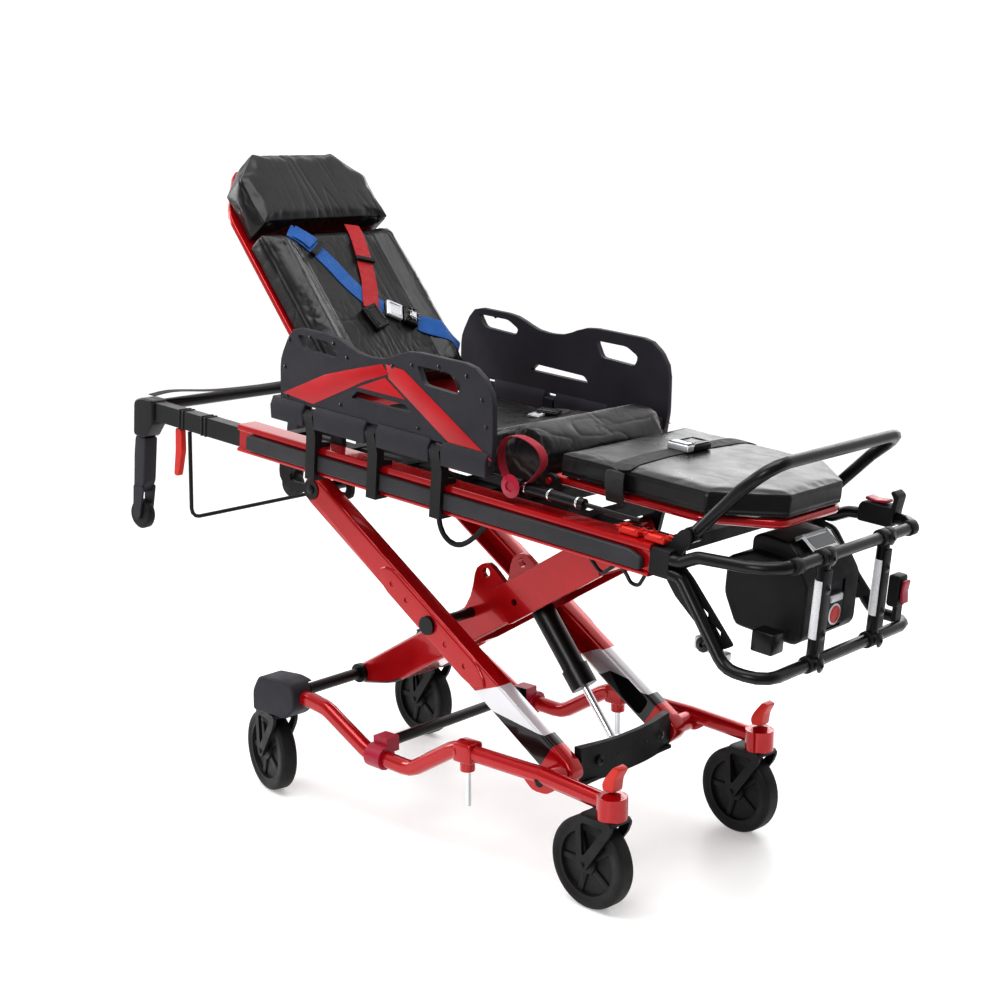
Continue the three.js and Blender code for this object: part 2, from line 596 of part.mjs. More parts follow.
// Hose for the actuator's cable: hangs in a loop between two clips under the right-hand stringer
const hoseRadius = 6;
const hoseRoute = [[-80, -63], [-80, -82], [-80, -104], [-79, -126], [-72, -149], [-58, -167], [-38, -177],
  [-16, -178], [4, -170], [22, -157], [38, -142], [53, -126], [67, -112], [77, -97], [83, -81], [84, -63]];
const hoseLine = new THREE.CatmullRomCurve3(hoseRoute.map(([x, z]) => new THREE.Vector3(x, hoseY, z)));
const hoseSection = outline([...Array(10).keys()].map((i) =>
  [hoseRadius * Math.cos(i * Math.PI / 5), hoseRadius * Math.sin(i * Math.PI / 5)]));
part('actuator_hose', new THREE.ExtrudeGeometry(hoseSection, { steps: 15, bevelEnabled: false,
  extrudePath: hoseLine }), blackPlastic, litter);

// ---------------------------------------------------------------- backrest
const back = new THREE.Group();
back.position.set(backHingeX, 0, backHingeZ);
back.rotation.y = rad(backAngle);
litter.add(back);
const halfCushion = cushionWidth / 2;
const boardPlate = join(
  plan(outline([
    [-4, -200], [-4, 200], [-60, 218], [-backLength + 130, 218], [-backLength, 130],
    [-backLength, -130], [-backLength + 130, -218], [-60, -218],
  ], 24), -14, 0, 3),
  crossRod(0, 0, 206, 13), crossRod(0, 0, 228, 8));
part('backrest_board', boardPlate, redPaint, back);
const backCushion = lengthways(outline([
  [-halfCushion, 2], [halfCushion, 2], [halfCushion, 62], [halfCushion - 46, 88], [halfCushion - 90, 62],
  [-halfCushion + 90, 62], [-halfCushion + 46, 88], [-halfCushion, 62],
], 16), -500, -56, 8, 2);
part('backrest_cushion', backCushion, vinyl, back);
const pillowPlan = outline([
  [-backLength - 4, -120], [-backLength - 4, 120], [-backLength + 90, 212], [-508, 212], [-508, -212],
  [-backLength + 90, -212],
], 20);
part('headrest_cushion', plan(pillowPlan, 2, 84, 12, 2), vinyl, back);

// ---------------------------------------------------------------- seat and legs
const seatSide = outline([
  [backHingeX + 30, 18, 16], [backHingeX + 26, 84, 30], [60, 86, 60], [150, 120, 40], [200, 156, 30],
  [262, 150, 30], [276, 96, 16], [250, 18, 16],
]);
part('seat_cushion', slab(seatSide, -205, 205, 10, 2), vinyl, litter);
const legSection = new THREE.Group();
legSection.position.set(legHingeX, 0, legHingeZ);
litter.add(legSection);
const legFar = legCushionLength + 8;
const legDeckTube = [[0, -196, 0], [legFar - 150, -196, 0], [legFar - 24, -104, 0], [legFar - 24, 0, 0]];
const deckRadius = 10;
const deckHalf = tube(legDeckTube, deckRadius, { bend: 40, sides: 8, arcSteps: 3 });
const legDeck = join(both(deckHalf), crossRod(0, 0, 206, 12), crossRod(0, 0, 228, 7),
  [150, 330].map((u) => crossRod(u, 0, 196, 8, 8)));
part('leg_deck', legDeck, redPaint, legSection);
const legPlan = outline([
  [10, -halfCushion], [legFar - 170, -halfCushion], [legFar, -130], [legFar, 130],
  [legFar - 170, halfCushion], [10, halfCushion],
], 22);
part('leg_cushion', plan(legPlan, deckRadius + 3, deckRadius + 3 + cushionThickness, 10, 2), vinyl, legSection);

// ---------------------------------------------------------------- side boards
const boardHead = -450;
const boardFoot = boardHead + boardLength;
const boardY = hingeY;
const boardThick = 16;
function sideBoardGeometry() {
  const top = hingeZ + boardHeight;
  const panel = slab(outline([
    [boardHead + 6, hingeZ, 8], [boardHead, hingeZ + 120, 20], [boardHead + 36, top - 6, 30],
    [boardHead + 180, top - 6, 40], [boardHead + 250, top - 34, 30], [boardHead + 330, top - 34, 30],
    [boardHead + 400, top, 40], [boardFoot - 60, top, 30], [boardFoot - 8, top - 50, 40],
    [boardFoot, hingeZ + 40, 20], [boardFoot - 6, hingeZ, 8],
  ], 0), boardY - boardThick / 2, boardY + boardThick / 2, 2);
  const holes = [[boardHead + 55, boardHead + 190, top - 52, top - 22],
    [boardHead + 430, boardHead + 560, top - 66, top - 28]].map(([x0, x1, z0, z1]) =>
    slab(outline([[x0, z1], [x0 + 22, z0], [x1 - 8, z0 - 4], [x1, z1 - 18], [x1 - 36, z1]], 9),
      boardY - 20, boardY + 20, 0, 2));
  const slotEnds = [boardHead + 236, boardFoot - 237];
  const slotLow = hingeZ + 71;
  holes.push(slab(outline([[slotEnds[0], slotLow], [slotEnds[0] + 18, slotLow + 18],
    [slotEnds[1] - 16, slotLow + 15], [slotEnds[1], slotLow]], 5), boardY - 20, boardY + 20));
  const ends = [boardHead - 20, ...clipPlaces.flatMap((x) => [x - 17, x + 17]), boardFoot - 10];
  const casings = [];
  for (let i = 0; i < ends.length; i += 2) {
    casings.push(lengthways(outline([[boardY - 14, hingeZ - 22], [boardY + 14, hingeZ - 22],
      [boardY + 18, hingeZ + 10], [boardY + 10, hingeZ + 30], [boardY - 10, hingeZ + 30],
      [boardY - 18, hingeZ + 10]], 0), ends[i], ends[i + 1], 3));
  }
  const notches = clipPlaces.map((x) => block(x - 17, x + 17, boardY - 20, boardY + 20,
    hingeZ - 30, hingeZ + 26));
  const hingeRod = rod([ends[0] + 10, boardY, hingeZ], [ends[ends.length - 1] - 10, boardY, hingeZ],
    hingeRodRadius, 12);
  return join(carve(join(panel, casings), notches, holes), hingeRod);
}
pair('side_board', sideBoardGeometry(), greyPlastic, litter);

// ---------------------------------------------------------------- head frame
const headEnd = -1010;
const headTube = (side) => block(headEnd + 20, headTubeInner, side * headTubeY - headTubeWidth / 2,
  side * headTubeY + headTubeWidth / 2, headTubeZ - headTubeDepth / 2, headTubeZ + headTubeDepth / 2);
part('head_frame', join(headTube(1), headTube(-1),
  crossRod(headEnd + 24, headTubeZ + 6, 268, 15),
  both(slab(outline([[headEnd - 18, -110], [headEnd - 18, -20], [headEnd + 10, -8], [headEnd + 60, -8],
    [headEnd + 60, -66], [headEnd + 30, -110]], 10), headTubeY - 24, headTubeY + 24, 4))),
satinBlack, litter);
const loadWheelX = headEnd - 4;
const loadWheelZ = -318;
const loadWheelRadius = 38;
const loadLeg = join(
  slab(outline([[headEnd - 16, -111 + 1 - gap], [headEnd + 28, -111 + 1 - gap], [headEnd + 24, -230],
    [headEnd + 4, -262], [headEnd - 20, -250], [headEnd - 20, -160]], 8), headTubeY - 20, headTubeY + 20, 4),
  [-1, 1].map((s) => slab(outline([[headEnd - 18, -240], [headEnd + 20, -240], [loadWheelX + 14, loadWheelZ],
    [loadWheelX + 6, loadWheelZ - 13], [loadWheelX - 6, loadWheelZ - 13], [loadWheelX - 14, loadWheelZ]], 6),
  headTubeY + s * 18 - 3, headTubeY + s * 18 + 3)),
  rod([loadWheelX, headTubeY - 20, loadWheelZ], [loadWheelX, headTubeY + 20, loadWheelZ], 5, 12));
pair('loading_leg', loadLeg, greyPlastic, litter);
const loadWheel = new THREE.LatheGeometry([
  [5 + running, -13], [loadWheelRadius - 5, -13], [loadWheelRadius, -8], [loadWheelRadius, 8],
  [loadWheelRadius - 5, 13], [5 + running, 13], [5 + running, -13],
].map(([r, y]) => new THREE.Vector2(r, y)), 24).translate(loadWheelX, headTubeY, loadWheelZ);
pair('loading_wheel', loadWheel, tyreRubber, litter);

const leverX = -868;
part('release_lever', slab(outline([[leverX - 12, -64], [leverX + 12, -64], [leverX + 16, -120], [leverX + 4, -186],
    [leverX - 14, -186], [leverX - 10, -120]], 6), headTubeY - 8, headTubeY + 8, 2), pedalOrange, litter);
const barX = -832;
const safetyBar = tube([[barX, headTubeY, -66], [barX + 14, headTubeY, -284], [barX + 14, -headTubeY, -284],
  [barX, -headTubeY, -66]], 5, { bend: 24, sides: 8, arcSteps: 3 });
part('safety_bar', safetyBar, blackPlastic, litter);

// ---------------------------------------------------------------- foot-end cage
const cageX = 890;
const cageSide = -278;
const cageLowZ = -203;
const postY = 114;
const bracketFoot = litterFoot + 46;
const handleX = 669;
const handleZ = 27;
const handleY = -240;
const handlePinRadius = 6;
// A perforated gusset runs from the bracket down to the lower tube.
const gussetStart = [bracketFoot + 18, -72];
const gussetEnd = [litterFoot + 172, -168];
const gussetSide = outline([[litterFoot + 20, -60], [bracketFoot + 4, -22], [gussetStart[0] + 24, -52],
  [gussetEnd[0] + 22, -160], [gussetEnd[0] - 12, -180], [gussetStart[0] - 14, -96]], 6);
const gussetHoles = [0.12, 0.42, 0.72].flatMap((share) => {
  const [x, z] = [0, 1].map((i) => gussetStart[i] + share * (gussetEnd[i] - gussetStart[i]));
  return [[[x, z + 14], [x + 22, z + 2], [x + 22, z - 12]], [[x - 4, z + 6], [x + 16, z - 16], [x - 4, z - 12]]]
    .map((corners) => slab(outline(corners, 2), railOuter + 20, railOuter + 40));
});
const gusset = carve(slab(gussetSide, railOuter + 27, railOuter + 33), gussetHoles);
const bracket = join(gusset,
  lengthways(rect(railOuter + 2, railInner - 2, -sideRailDepth + 4, -4, 8), litterFoot + gap, bracketFoot),
  slab(outline([[litterFoot + 6, -20], [bracketFoot + 6, -20], [handleX + 14, handleZ - 4],
    [handleX + 8, handleZ + 14], [handleX - 12, handleZ + 12]], 8), railOuter + 26.5, railOuter + 33),
  rod([handleX, railOuter + 30, handleZ], [handleX, handleY + handleTubeRadius + 6, handleZ],
    handlePinRadius));
pair('foot_bracket', bracket, blackPlastic, litter);

const upperLine = [[bracketFoot + gap, cageSide, -22], [bracketFoot + 20, cageSide, -22, 30],
  [bracketFoot + 60, cageSide, -2, 40], [cageX, cageSide, 14, 70], [cageX, -cageSide, 14, 70],
  [bracketFoot + 60, -cageSide, -2, 40], [bracketFoot + 20, -cageSide, -22, 30],
  [bracketFoot + gap, -cageSide, -22]];
part('cage_upper', tube(upperLine, cageTubeRadius), satinBlack, litter);
const lowerBar = tube([[bracketFoot + gap, cageSide, -50], [bracketFoot + 24, cageSide, -50, 40],
  [litterFoot + 190, cageSide, cageLowZ, 50], [cageX - 4, cageSide, cageLowZ, 60],
  [cageX - 4, -cageSide, cageLowZ, 60], [litterFoot + 190, -cageSide, cageLowZ, 50],
  [bracketFoot + 24, -cageSide, -50, 40], [bracketFoot + gap, -cageSide, -50]], cageTubeRadius);
part('cage_lower', lowerBar, satinBlack, litter);
pair('cage_post', rod([cageX - 2, -postY, cageLowZ + cageTubeRadius + gap],
  [cageX, -postY, 14 - cageTubeRadius - gap], 13), satinBlack, litter);

// Battery housing: a faceted box with a raised console, an open bay in its foot face and the pack in it
const battX = cageX - 38;
const batteryHalf = 46;
const bayDepth = 34;
const batteryHousing = join(
  slab(outline([[battX - 158, -180], [battX - 16, -186], [battX, -168], [battX, -62], [battX - 26, -26],
    [battX - 130, -18], [battX - 190, -44], [battX - 190, -120]], 10), -104, 104, 8),
  slab(outline([[battX - 150, -30], [battX - 34, -34], [battX - 40, -8], [battX - 64, 10],
    [battX - 132, 14], [battX - 150, 2]], 8), -78, 78, 5));
const batteryBay = block(battX - bayDepth, battX + 10, -batteryHalf - gap, batteryHalf + gap, -170, -70);
part('battery_box', carve(batteryHousing, batteryBay), blackPlastic, litter);
part('battery', join(
  slab(rect(battX - bayDepth + gap, battX - 4, -170 + gap, -70 - gap, 4), -batteryHalf, batteryHalf, 3),
  slab(rect(battX - 10, battX + 8, -160, -92, 6), -34, 34, 4)), greyPlastic, litter);

const handleReach = 165;              // from the handle's pins to its crossbar, lengthways
const handleRise = 172;
const handleKnee = [handleX + 100, handleZ + 112];
// Control pods on the left-hand side of the cage, each with a spring-centred rocker
const podY = [256, 298];
const podX = cageX - 104;
const podTop = 34;
const rockerLift = 1;                // from the pod to the rocker's keel
const pod = join(
  slab(outline([[podX - 42, -10], [podX + 38, -10], [podX + 42, podTop - 8], [podX + 34, podTop],
    [podX - 34, podTop], [podX - 42, podTop - 12]], 6), podY[0], podY[1], 3),
  slab(outline([[podX + 28, 10], [podX + 40, 10], [podX + 48, podTop + 26], [podX + 34, podTop + 36],
    [podX + 28, podTop + 30], [podX + 37, podTop + 18]], 5), podY[0] + 3, podY[1] - 3, 2));
part('control_pod_upper', carve(pod, tube(upperLine, cageTubeRadius + gap)), blackPlastic, litter);
const rockerX = podX - 5;
part('control_rocker_upper', slab(outline([[rockerX - 26, podTop + 4], [rockerX, podTop + rockerLift],
  [rockerX + 26, podTop + 4], [rockerX + 24, podTop + 11], [rockerX, podTop + 7],
  [rockerX - 24, podTop + 11]], 3), podY[0] + 6, podY[1] - 6, 2), crimsonPlastic, litter);
const lowPodX = cageX - 11;
const lowPodZ = -124;
const lowPodY = [204, 240];
part('control_pod_lower', join(
  slab(rect(lowPodX - 16, lowPodX + 10, lowPodZ - 34, lowPodZ + 34, 6), lowPodY[0], lowPodY[1], 3),
  slab(rect(lowPodX - 2, lowPodX + 8, cageLowZ + cageTubeRadius + gap, lowPodZ - 20), lowPodY[0] + 6,
    lowPodY[1] - 6)), blackPlastic, litter);
part('control_rocker_lower', slab(outline([[lowPodX + 14, lowPodZ - 26], [lowPodX + 11, lowPodZ],
  [lowPodX + 14, lowPodZ + 26], [lowPodX + 20, lowPodZ + 24], [lowPodX + 17, lowPodZ],
  [lowPodX + 20, lowPodZ - 24]], 3), lowPodY[0] + 5, lowPodY[1] - 5, 2), crimsonPlastic, litter);

const handle = tube([[handleX, handleY, handleZ], [handleKnee[0], handleY, handleKnee[1], 60],
  [handleX + handleReach, handleY, handleZ + handleRise, 50],
  [handleX + handleReach, -handleY, handleZ + handleRise, 50],
  [handleKnee[0], -handleY, handleKnee[1], 60], [handleX, -handleY, handleZ]], handleTubeRadius,
{ bend: 50, arcSteps: 3 });
part('push_handle', carve(join(handle, both(rod([handleX, handleY - 14, handleZ],
  [handleX, handleY + 14, handleZ], 16))), crossRod(handleX, handleZ, 300, handlePinRadius + running)),
satinBlack, litter);

// Gas spring along the right-hand rail
const springY = railOuter + 26;
part('gas_spring', join(rod([232, springY, 34], [256, springY, 34], 17),
  rod([250, springY, 34], [420, springY, 34], 12), rod([410, springY, 34], [560, springY, 34], 5, 10)),
satinBlack, litter);

// ---------------------------------------------------------------- origin
// The origin is on the floor, midway along the whole trolley.
model.updateMatrixWorld(true);
const extent = new THREE.Box3().setFromObject(model, true);
model.position.set(-(extent.min.x + extent.max.x) / 2, 0, 0);

export default model;
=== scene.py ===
# %% [markdown]
# # A powered stretcher trolley
# The rigid parts are already made to size in a CAD model, which is loaded first as a fixed frame.
# This lesson gives them their finish and adds what the CAD leaves plain: padded cushions, belts,
# wheels, screws, films and plain bands. Every new piece rides on one body of the frame.

# %% Load the frame
import json
import math
import bmesh
import bpy
from mathutils import Matrix, Vector, noise
from mathutils.bvhtree import BVHTree


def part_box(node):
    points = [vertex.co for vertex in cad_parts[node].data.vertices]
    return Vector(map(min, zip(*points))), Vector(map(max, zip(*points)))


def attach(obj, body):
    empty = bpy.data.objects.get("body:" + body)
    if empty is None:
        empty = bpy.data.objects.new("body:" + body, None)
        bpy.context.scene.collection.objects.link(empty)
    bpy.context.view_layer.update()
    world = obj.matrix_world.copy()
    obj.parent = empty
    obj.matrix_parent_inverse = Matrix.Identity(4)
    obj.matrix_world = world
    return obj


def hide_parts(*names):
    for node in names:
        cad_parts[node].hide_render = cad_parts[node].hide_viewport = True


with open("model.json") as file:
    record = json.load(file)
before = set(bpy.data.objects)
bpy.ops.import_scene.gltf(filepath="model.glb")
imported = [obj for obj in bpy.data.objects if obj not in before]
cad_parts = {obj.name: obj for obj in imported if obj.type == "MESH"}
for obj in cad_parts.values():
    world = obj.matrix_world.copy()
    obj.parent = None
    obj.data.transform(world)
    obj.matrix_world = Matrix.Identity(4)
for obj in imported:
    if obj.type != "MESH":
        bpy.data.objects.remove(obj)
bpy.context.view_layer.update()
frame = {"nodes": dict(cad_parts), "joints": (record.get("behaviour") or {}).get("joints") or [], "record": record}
joints = {joint["name"]: joint for joint in frame["joints"]}
MM = 0.001

# %% [markdown]
# ## Turned places
# The litter is tilted and the backrest is raised, so sizes are easier to read in their own axes.
# A place keeps an origin and two directions, and turns local millimetres into a point of the frame.
# Both directions come from the joints, so nothing here has to be fitted by eye.

# %% Places
class Place:
    def __init__(self, origin, along, up):
        self.origin, self.along, self.up = Vector(origin), Vector(along), Vector(up)
        self.across = self.up.cross(self.along)

    def matrix(self):
        axes = Matrix((self.along, self.across, self.up)).transposed().to_4x4()
        return Matrix.Translation(self.origin) @ axes

    def at(self, x, y, z):
        return self.matrix() @ (Vector((x, y, z)) * MM)

    def turned(self, origin, degrees):
        turn = Matrix.Rotation(math.radians(degrees), 3, self.across)
        return Place(origin, turn @ self.along, turn @ self.up)


along = Vector(joints["board_fold_r"]["axis"])
level = Place((0, 0, 0), (1, 0, 0), (0, 0, 1))
litter = Place((0, 0, 0), along, (-along.z, 0, along.x))
back_hinge = Vector(joints["backrest_tilt"]["pos_m"])
litter.origin = back_hinge - litter.along * -345 * MM - litter.up * 46 * MM
back = litter.turned(back_hinge, 46.7)
legs_up = Place(joints["leg_raise"]["pos_m"], litter.along, litter.up)
print("litter origin", [round(c, 3) for c in litter.origin])

# %% [markdown]
# ## Camera, light and floor
# The camera stands at the foot end, off the right-hand side, a little above the litter.
# A pale floor and large soft lamps give the long highlights of lacquered tube. The surroundings are
# white behind the trolley and fade to a dim room on the other side, which keeps its blacks deep.

# %% Stage
def aim(thing, target):
    direction = Vector(target) - thing.location
    thing.rotation_euler = direction.to_track_quat("-Z", "Y").to_euler()


def soft_lamp(name, place, target, size, power):
    lamp = bpy.data.lights.new(name, "AREA")
    lamp.shape, lamp.size, lamp.size_y, lamp.energy = "RECTANGLE", size[0], size[1], power
    lamp_object = bpy.data.objects.new(name, lamp)
    lamp_object.location = place
    bpy.context.scene.collection.objects.link(lamp_object)
    aim(lamp_object, target)


camera = bpy.data.cameras.new("camera")
camera.lens, camera.sensor_width, camera.clip_end = 63.0, 36.0, 60
camera_object = bpy.data.objects.new("camera", camera)
camera_object.location = (2.655, -2.957, 1.588)
bpy.context.scene.collection.objects.link(camera_object)
aim(camera_object, (-0.444, 0.558, 0.600))
bpy.context.scene.camera = camera_object

soft_lamp("top_softbox", (0.4, -0.6, 3.4), (0, 0, 0.6), (3.2, 2.2), 88)
soft_lamp("side_softbox", (1.2, -3.6, 1.7), (0, 0, 0.6), (1.6, 1.2), 46)
soft_lamp("head_softbox", (-3.2, -1.2, 1.9), (0, 0, 0.7), (1.2, 1.6), 34)
soft_lamp("back_softbox", (-0.6, 3.6, 2.4), (0, 0, 0.8), (3.0, 1.6), 30)
world = bpy.data.worlds.new("studio")
bpy.context.scene.world = world
world.use_nodes = True
sky = world.node_tree
direction = sky.nodes.new("ShaderNodeTexCoord")
towards = sky.nodes.new("ShaderNodeVectorMath")
towards.operation = "DOT_PRODUCT"
towards.inputs[1].default_value = (-0.66, 0.75, 0)
fade = sky.nodes.new("ShaderNodeMapRange")
for socket, value in zip(("From Min", "From Max", "To Min", "To Max"), (-0.35, 0.6, 0.30, 1.05)):
    fade.inputs[socket].default_value = value
sky.links.new(direction.outputs["Generated"], towards.inputs[0])
sky.links.new(towards.outputs["Value"], fade.inputs["Value"])
sky.links.new(fade.outputs["Result"], sky.nodes["Background"].inputs["Strength"])
sky.nodes["Background"].inputs["Color"].default_value = (1, 1, 1, 1)
bpy.context.scene.view_settings.view_transform = "Standard"
bpy.context.scene.view_settings.look = "Medium High Contrast"

# %% [markdown]
# ## Small helpers
# An operator works on whatever is selected, so each step first clears the selection and then picks
# its own piece. A finished piece has its place in its mesh, so its object stays at the origin.

# %% Helpers for pieces
def deselect():
    if bpy.context.mode != "OBJECT":
        bpy.ops.object.mode_set(mode="OBJECT")
    bpy.ops.object.select_all(action="DESELECT")


def only(piece):
    deselect()
    piece.select_set(True)
    bpy.context.view_layer.objects.active = piece
    return piece


def apply_modifiers(piece):
    only(piece)
    for modifier in list(piece.modifiers):
        bpy.ops.object.modifier_apply(modifier=modifier.name)
    return piece


def place_in_mesh(piece, place=level):
    only(piece)
    bpy.ops.object.transform_apply(location=True, rotation=True, scale=True)
    piece.data.transform(place.matrix())
    return piece


def dress(piece, name, material, body):
    piece.name = piece.data.name = name
    piece.data.materials.clear()
    piece.data.materials.append(material)
    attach(piece, body)
    return piece


def smooth(piece, degrees=40):
    only(piece)
    bpy.ops.object.shade_smooth_by_angle(angle=math.radians(degrees))
    return piece


def bevel(piece, width, segments=2, degrees=35):
    modifier = piece.modifiers.new("edge", "BEVEL")
    modifier.width, modifier.segments, modifier.limit_method = width * MM, segments, "ANGLE"
    modifier.angle_limit = math.radians(degrees)
    return apply_modifiers(piece)


def pick_faces(piece, wanted):
    """In edit mode with only the faces selected whose centre and normal are wanted."""
    only(piece)
    bpy.ops.object.mode_set(mode="EDIT")
    bpy.ops.mesh.select_mode(type="FACE")
    bpy.ops.mesh.select_all(action="DESELECT")
    mesh = bmesh.from_edit_mesh(piece.data)
    for face in mesh.faces:
        face.select_set(bool(wanted(face.calc_center_median(), face.normal)))
    bmesh.update_edit_mesh(piece.data)


def join(pieces):
    deselect()
    for piece in pieces:
        piece.select_set(True)
    bpy.context.view_layer.objects.active = pieces[0]
    bpy.ops.object.join()
    return pieces[0]


def copy_of(piece, matrix=Matrix.Identity(4)):
    twin = piece.copy()
    twin.data = piece.data.copy()
    bpy.context.scene.collection.objects.link(twin)
    twin.data.transform(matrix)
    return twin


def block(centre, size, turn=(0, 0, 0)):
    """A cube primitive, in millimetres."""
    deselect()
    bpy.ops.mesh.primitive_cube_add(size=1, location=Vector(centre) * MM, rotation=turn)
    piece = bpy.context.object
    piece.scale = Vector(size) * MM
    return place_in_mesh(piece)


def disc(centre, radius, depth, axis=(0, 0, 1), vertices=32):
    """A cylinder primitive, in millimetres, along an axis."""
    deselect()
    turn = Vector(axis).to_track_quat("Z", "Y").to_euler()
    bpy.ops.mesh.primitive_cylinder_add(vertices=vertices, radius=radius * MM, depth=depth * MM,
                                        location=Vector(centre) * MM, rotation=turn)
    return place_in_mesh(bpy.context.object)


# %% Floor
deselect()
bpy.ops.mesh.primitive_plane_add(size=22, location=(-0.66 * 9.3, 0.75 * 9.3, 0),
                                 rotation=(0, 0, math.atan2(0.75, -0.66)))
floor = bpy.context.object
floor.name = "floor"

# %% [markdown]
# ## Finishes
# Each finish is a small node tree over one Principled shader. Colour and roughness vary a little
# from place to place, and a bump gives the grain. Patterns read object coordinates, which are
# metres of the frame, so grain has the same size on every piece.

# %% Node helpers
def new_material(name, colour, roughness, metallic=0.0, coat=0.0, coat_roughness=0.1):
    material = bpy.data.materials.new(name)
    material.use_nodes = True
    tree = material.node_tree
    shader = tree.nodes["Principled BSDF"]
    shader.inputs["Base Color"].default_value = (*colour, 1)
    shader.inputs["Roughness"].default_value = roughness
    shader.inputs["Metallic"].default_value = metallic
    shader.inputs["Specular IOR Level"].default_value = 0.3
    shader.inputs["Coat Weight"].default_value = coat
    shader.inputs["Coat Roughness"].default_value = coat_roughness
    return material, tree, shader


def node(tree, kind, **values):
    made = tree.nodes.new("ShaderNode" + kind)
    for key, value in values.items():
        if key in made.bl_rna.properties:
            setattr(made, key, value)
        else:
            made.inputs[key.replace("_", " ")].default_value = value
    return made


def grain(tree, scale, stretch=(1, 1, 1), detail=4.0, coordinates="Object"):
    """A noise over the piece; stretch below 1 draws it out along that axis."""
    where = node(tree, "TexCoord")
    mapping = node(tree, "Mapping")
    mapping.inputs["Scale"].default_value = stretch
    texture = node(tree, "TexNoise", Scale=scale, Detail=detail)
    tree.links.new(where.outputs[coordinates], mapping.inputs["Vector"])
    tree.links.new(mapping.outputs["Vector"], texture.inputs["Vector"])
    return texture.outputs["Fac"]


def ramp(tree, source, low, high, start=0.3, end=0.7):
    """Turns a 0 to 1 pattern into two colours, or two greys."""
    made = node(tree, "ValToRGB")
    colours = [(*c, 1) if isinstance(c, tuple) else (c, c, c, 1) for c in (low, high)]
    for element, place, colour in zip(made.color_ramp.elements, (start, end), colours):
        element.position, element.color = place, colour
    tree.links.new(source, made.inputs["Fac"])
    return made.outputs["Color"]


def bump(tree, shader, source, strength, distance, below=None):
    made = node(tree, "Bump", Strength=strength, Distance=distance)
    tree.links.new(source, made.inputs["Height"])
    if below:
        tree.links.new(below, made.inputs["Normal"])
    tree.links.new(made.outputs["Normal"], shader.inputs["Normal"])
    return made.outputs["Normal"]


def plain_finish(name, low, high, rough, grain_size, depth, metallic=0.0, coat=0.0,
                 coat_roughness=0.1, stretch=(1, 1, 1)):
    """Cloudy colour between two tones, patchy roughness, and a fine grain in the surface."""
    material, tree, shader = new_material(name, low, rough[0], metallic, coat, coat_roughness)
    clouds = grain(tree, 9)
    tree.links.new(ramp(tree, clouds, low, high), shader.inputs["Base Color"])
    tree.links.new(ramp(tree, grain(tree, 26, stretch), rough[0], rough[1]), shader.inputs["Roughness"])
    bump(tree, shader, grain(tree, grain_size, stretch, 6.0), 0.6, depth)
    return material


# %% [markdown]
# Lacquered tube is a coloured metal-flake base under a clear coat. The coat gives the sharp
# highlight, and a very shallow bump gives the slight orange peel of sprayed paint.

# %% Rigid finishes
red_paint = plain_finish("red_paint", (0.36, 0.003, 0.006), (0.41, 0.004, 0.008), (0.20, 0.25),
                         420, 0.00006, metallic=0.35, coat=0.6, coat_roughness=0.06)
crimson = plain_finish("crimson_plastic", (0.27, 0.004, 0.024), (0.34, 0.006, 0.032), (0.34, 0.45),
                       700, 0.0001, coat=0.3)
brake_red = plain_finish("brake_red", (0.46, 0.016, 0.010), (0.56, 0.024, 0.014), (0.36, 0.46),
                         700, 0.0001, coat=0.2)
stripe_red = plain_finish("stripe_red", (0.33, 0.004, 0.008), (0.42, 0.007, 0.012), (0.30, 0.42),
                          500, 0.0001, coat=0.2)
satin_black = plain_finish("satin_black", (0.004, 0.0035, 0.004), (0.009, 0.008, 0.009), (0.30, 0.42),
                           600, 0.00012, metallic=0.4, coat=0.25, coat_roughness=0.25)
black_plastic = plain_finish("black_plastic", (0.004, 0.004, 0.005), (0.009, 0.008, 0.010),
                             (0.44, 0.58), 1100, 0.00025)
grey_plastic = plain_finish("grey_plastic", (0.016, 0.015, 0.020), (0.024, 0.022, 0.029),
                            (0.48, 0.62), 1300, 0.0003)
bumper_rubber = plain_finish("bumper_rubber", (0.024, 0.023, 0.026), (0.036, 0.034, 0.038),
                             (0.50, 0.66), 900, 0.0002, stretch=(0.05, 1, 1))
tyre_rubber = plain_finish("tyre_rubber", (0.004, 0.004, 0.005), (0.009, 0.009, 0.009),
                           (0.46, 0.66), 700, 0.0003)
bright_steel = plain_finish("bright_steel", (0.60, 0.61, 0.63), (0.74, 0.75, 0.77), (0.16, 0.26),
                            500, 0.00005, metallic=1.0, stretch=(1, 1, 0.06))
cast_silver = plain_finish("cast_silver", (0.50, 0.51, 0.53), (0.62, 0.63, 0.65), (0.38, 0.5),
                           400, 0.0003, metallic=0.8)
floor_paint = plain_finish("floor_paint", (0.80, 0.80, 0.79), (0.83, 0.83, 0.825), (0.32, 0.45),
                           40, 0.0002)
floor_shader = floor_paint.node_tree.nodes["Principled BSDF"]
floor_shader.inputs["Emission Color"].default_value = (1, 1, 1, 1)
floor_shader.inputs["Emission Strength"].default_value = 0.22
floor.data.materials.append(floor_paint)

# %% [markdown]
# White film on the legs and cage posts is retroreflective: a fine net of cells under a clear skin.
# Black vinyl has a leather grain of small cells over larger soft dents.

# %% Film and vinyl
def cells(tree, scale, coordinates="Object", feature="F1"):
    where = node(tree, "TexCoord")
    texture = node(tree, "TexVoronoi", Scale=scale, feature=feature)
    tree.links.new(where.outputs[coordinates], texture.inputs["Vector"])
    return texture.outputs["Distance"]


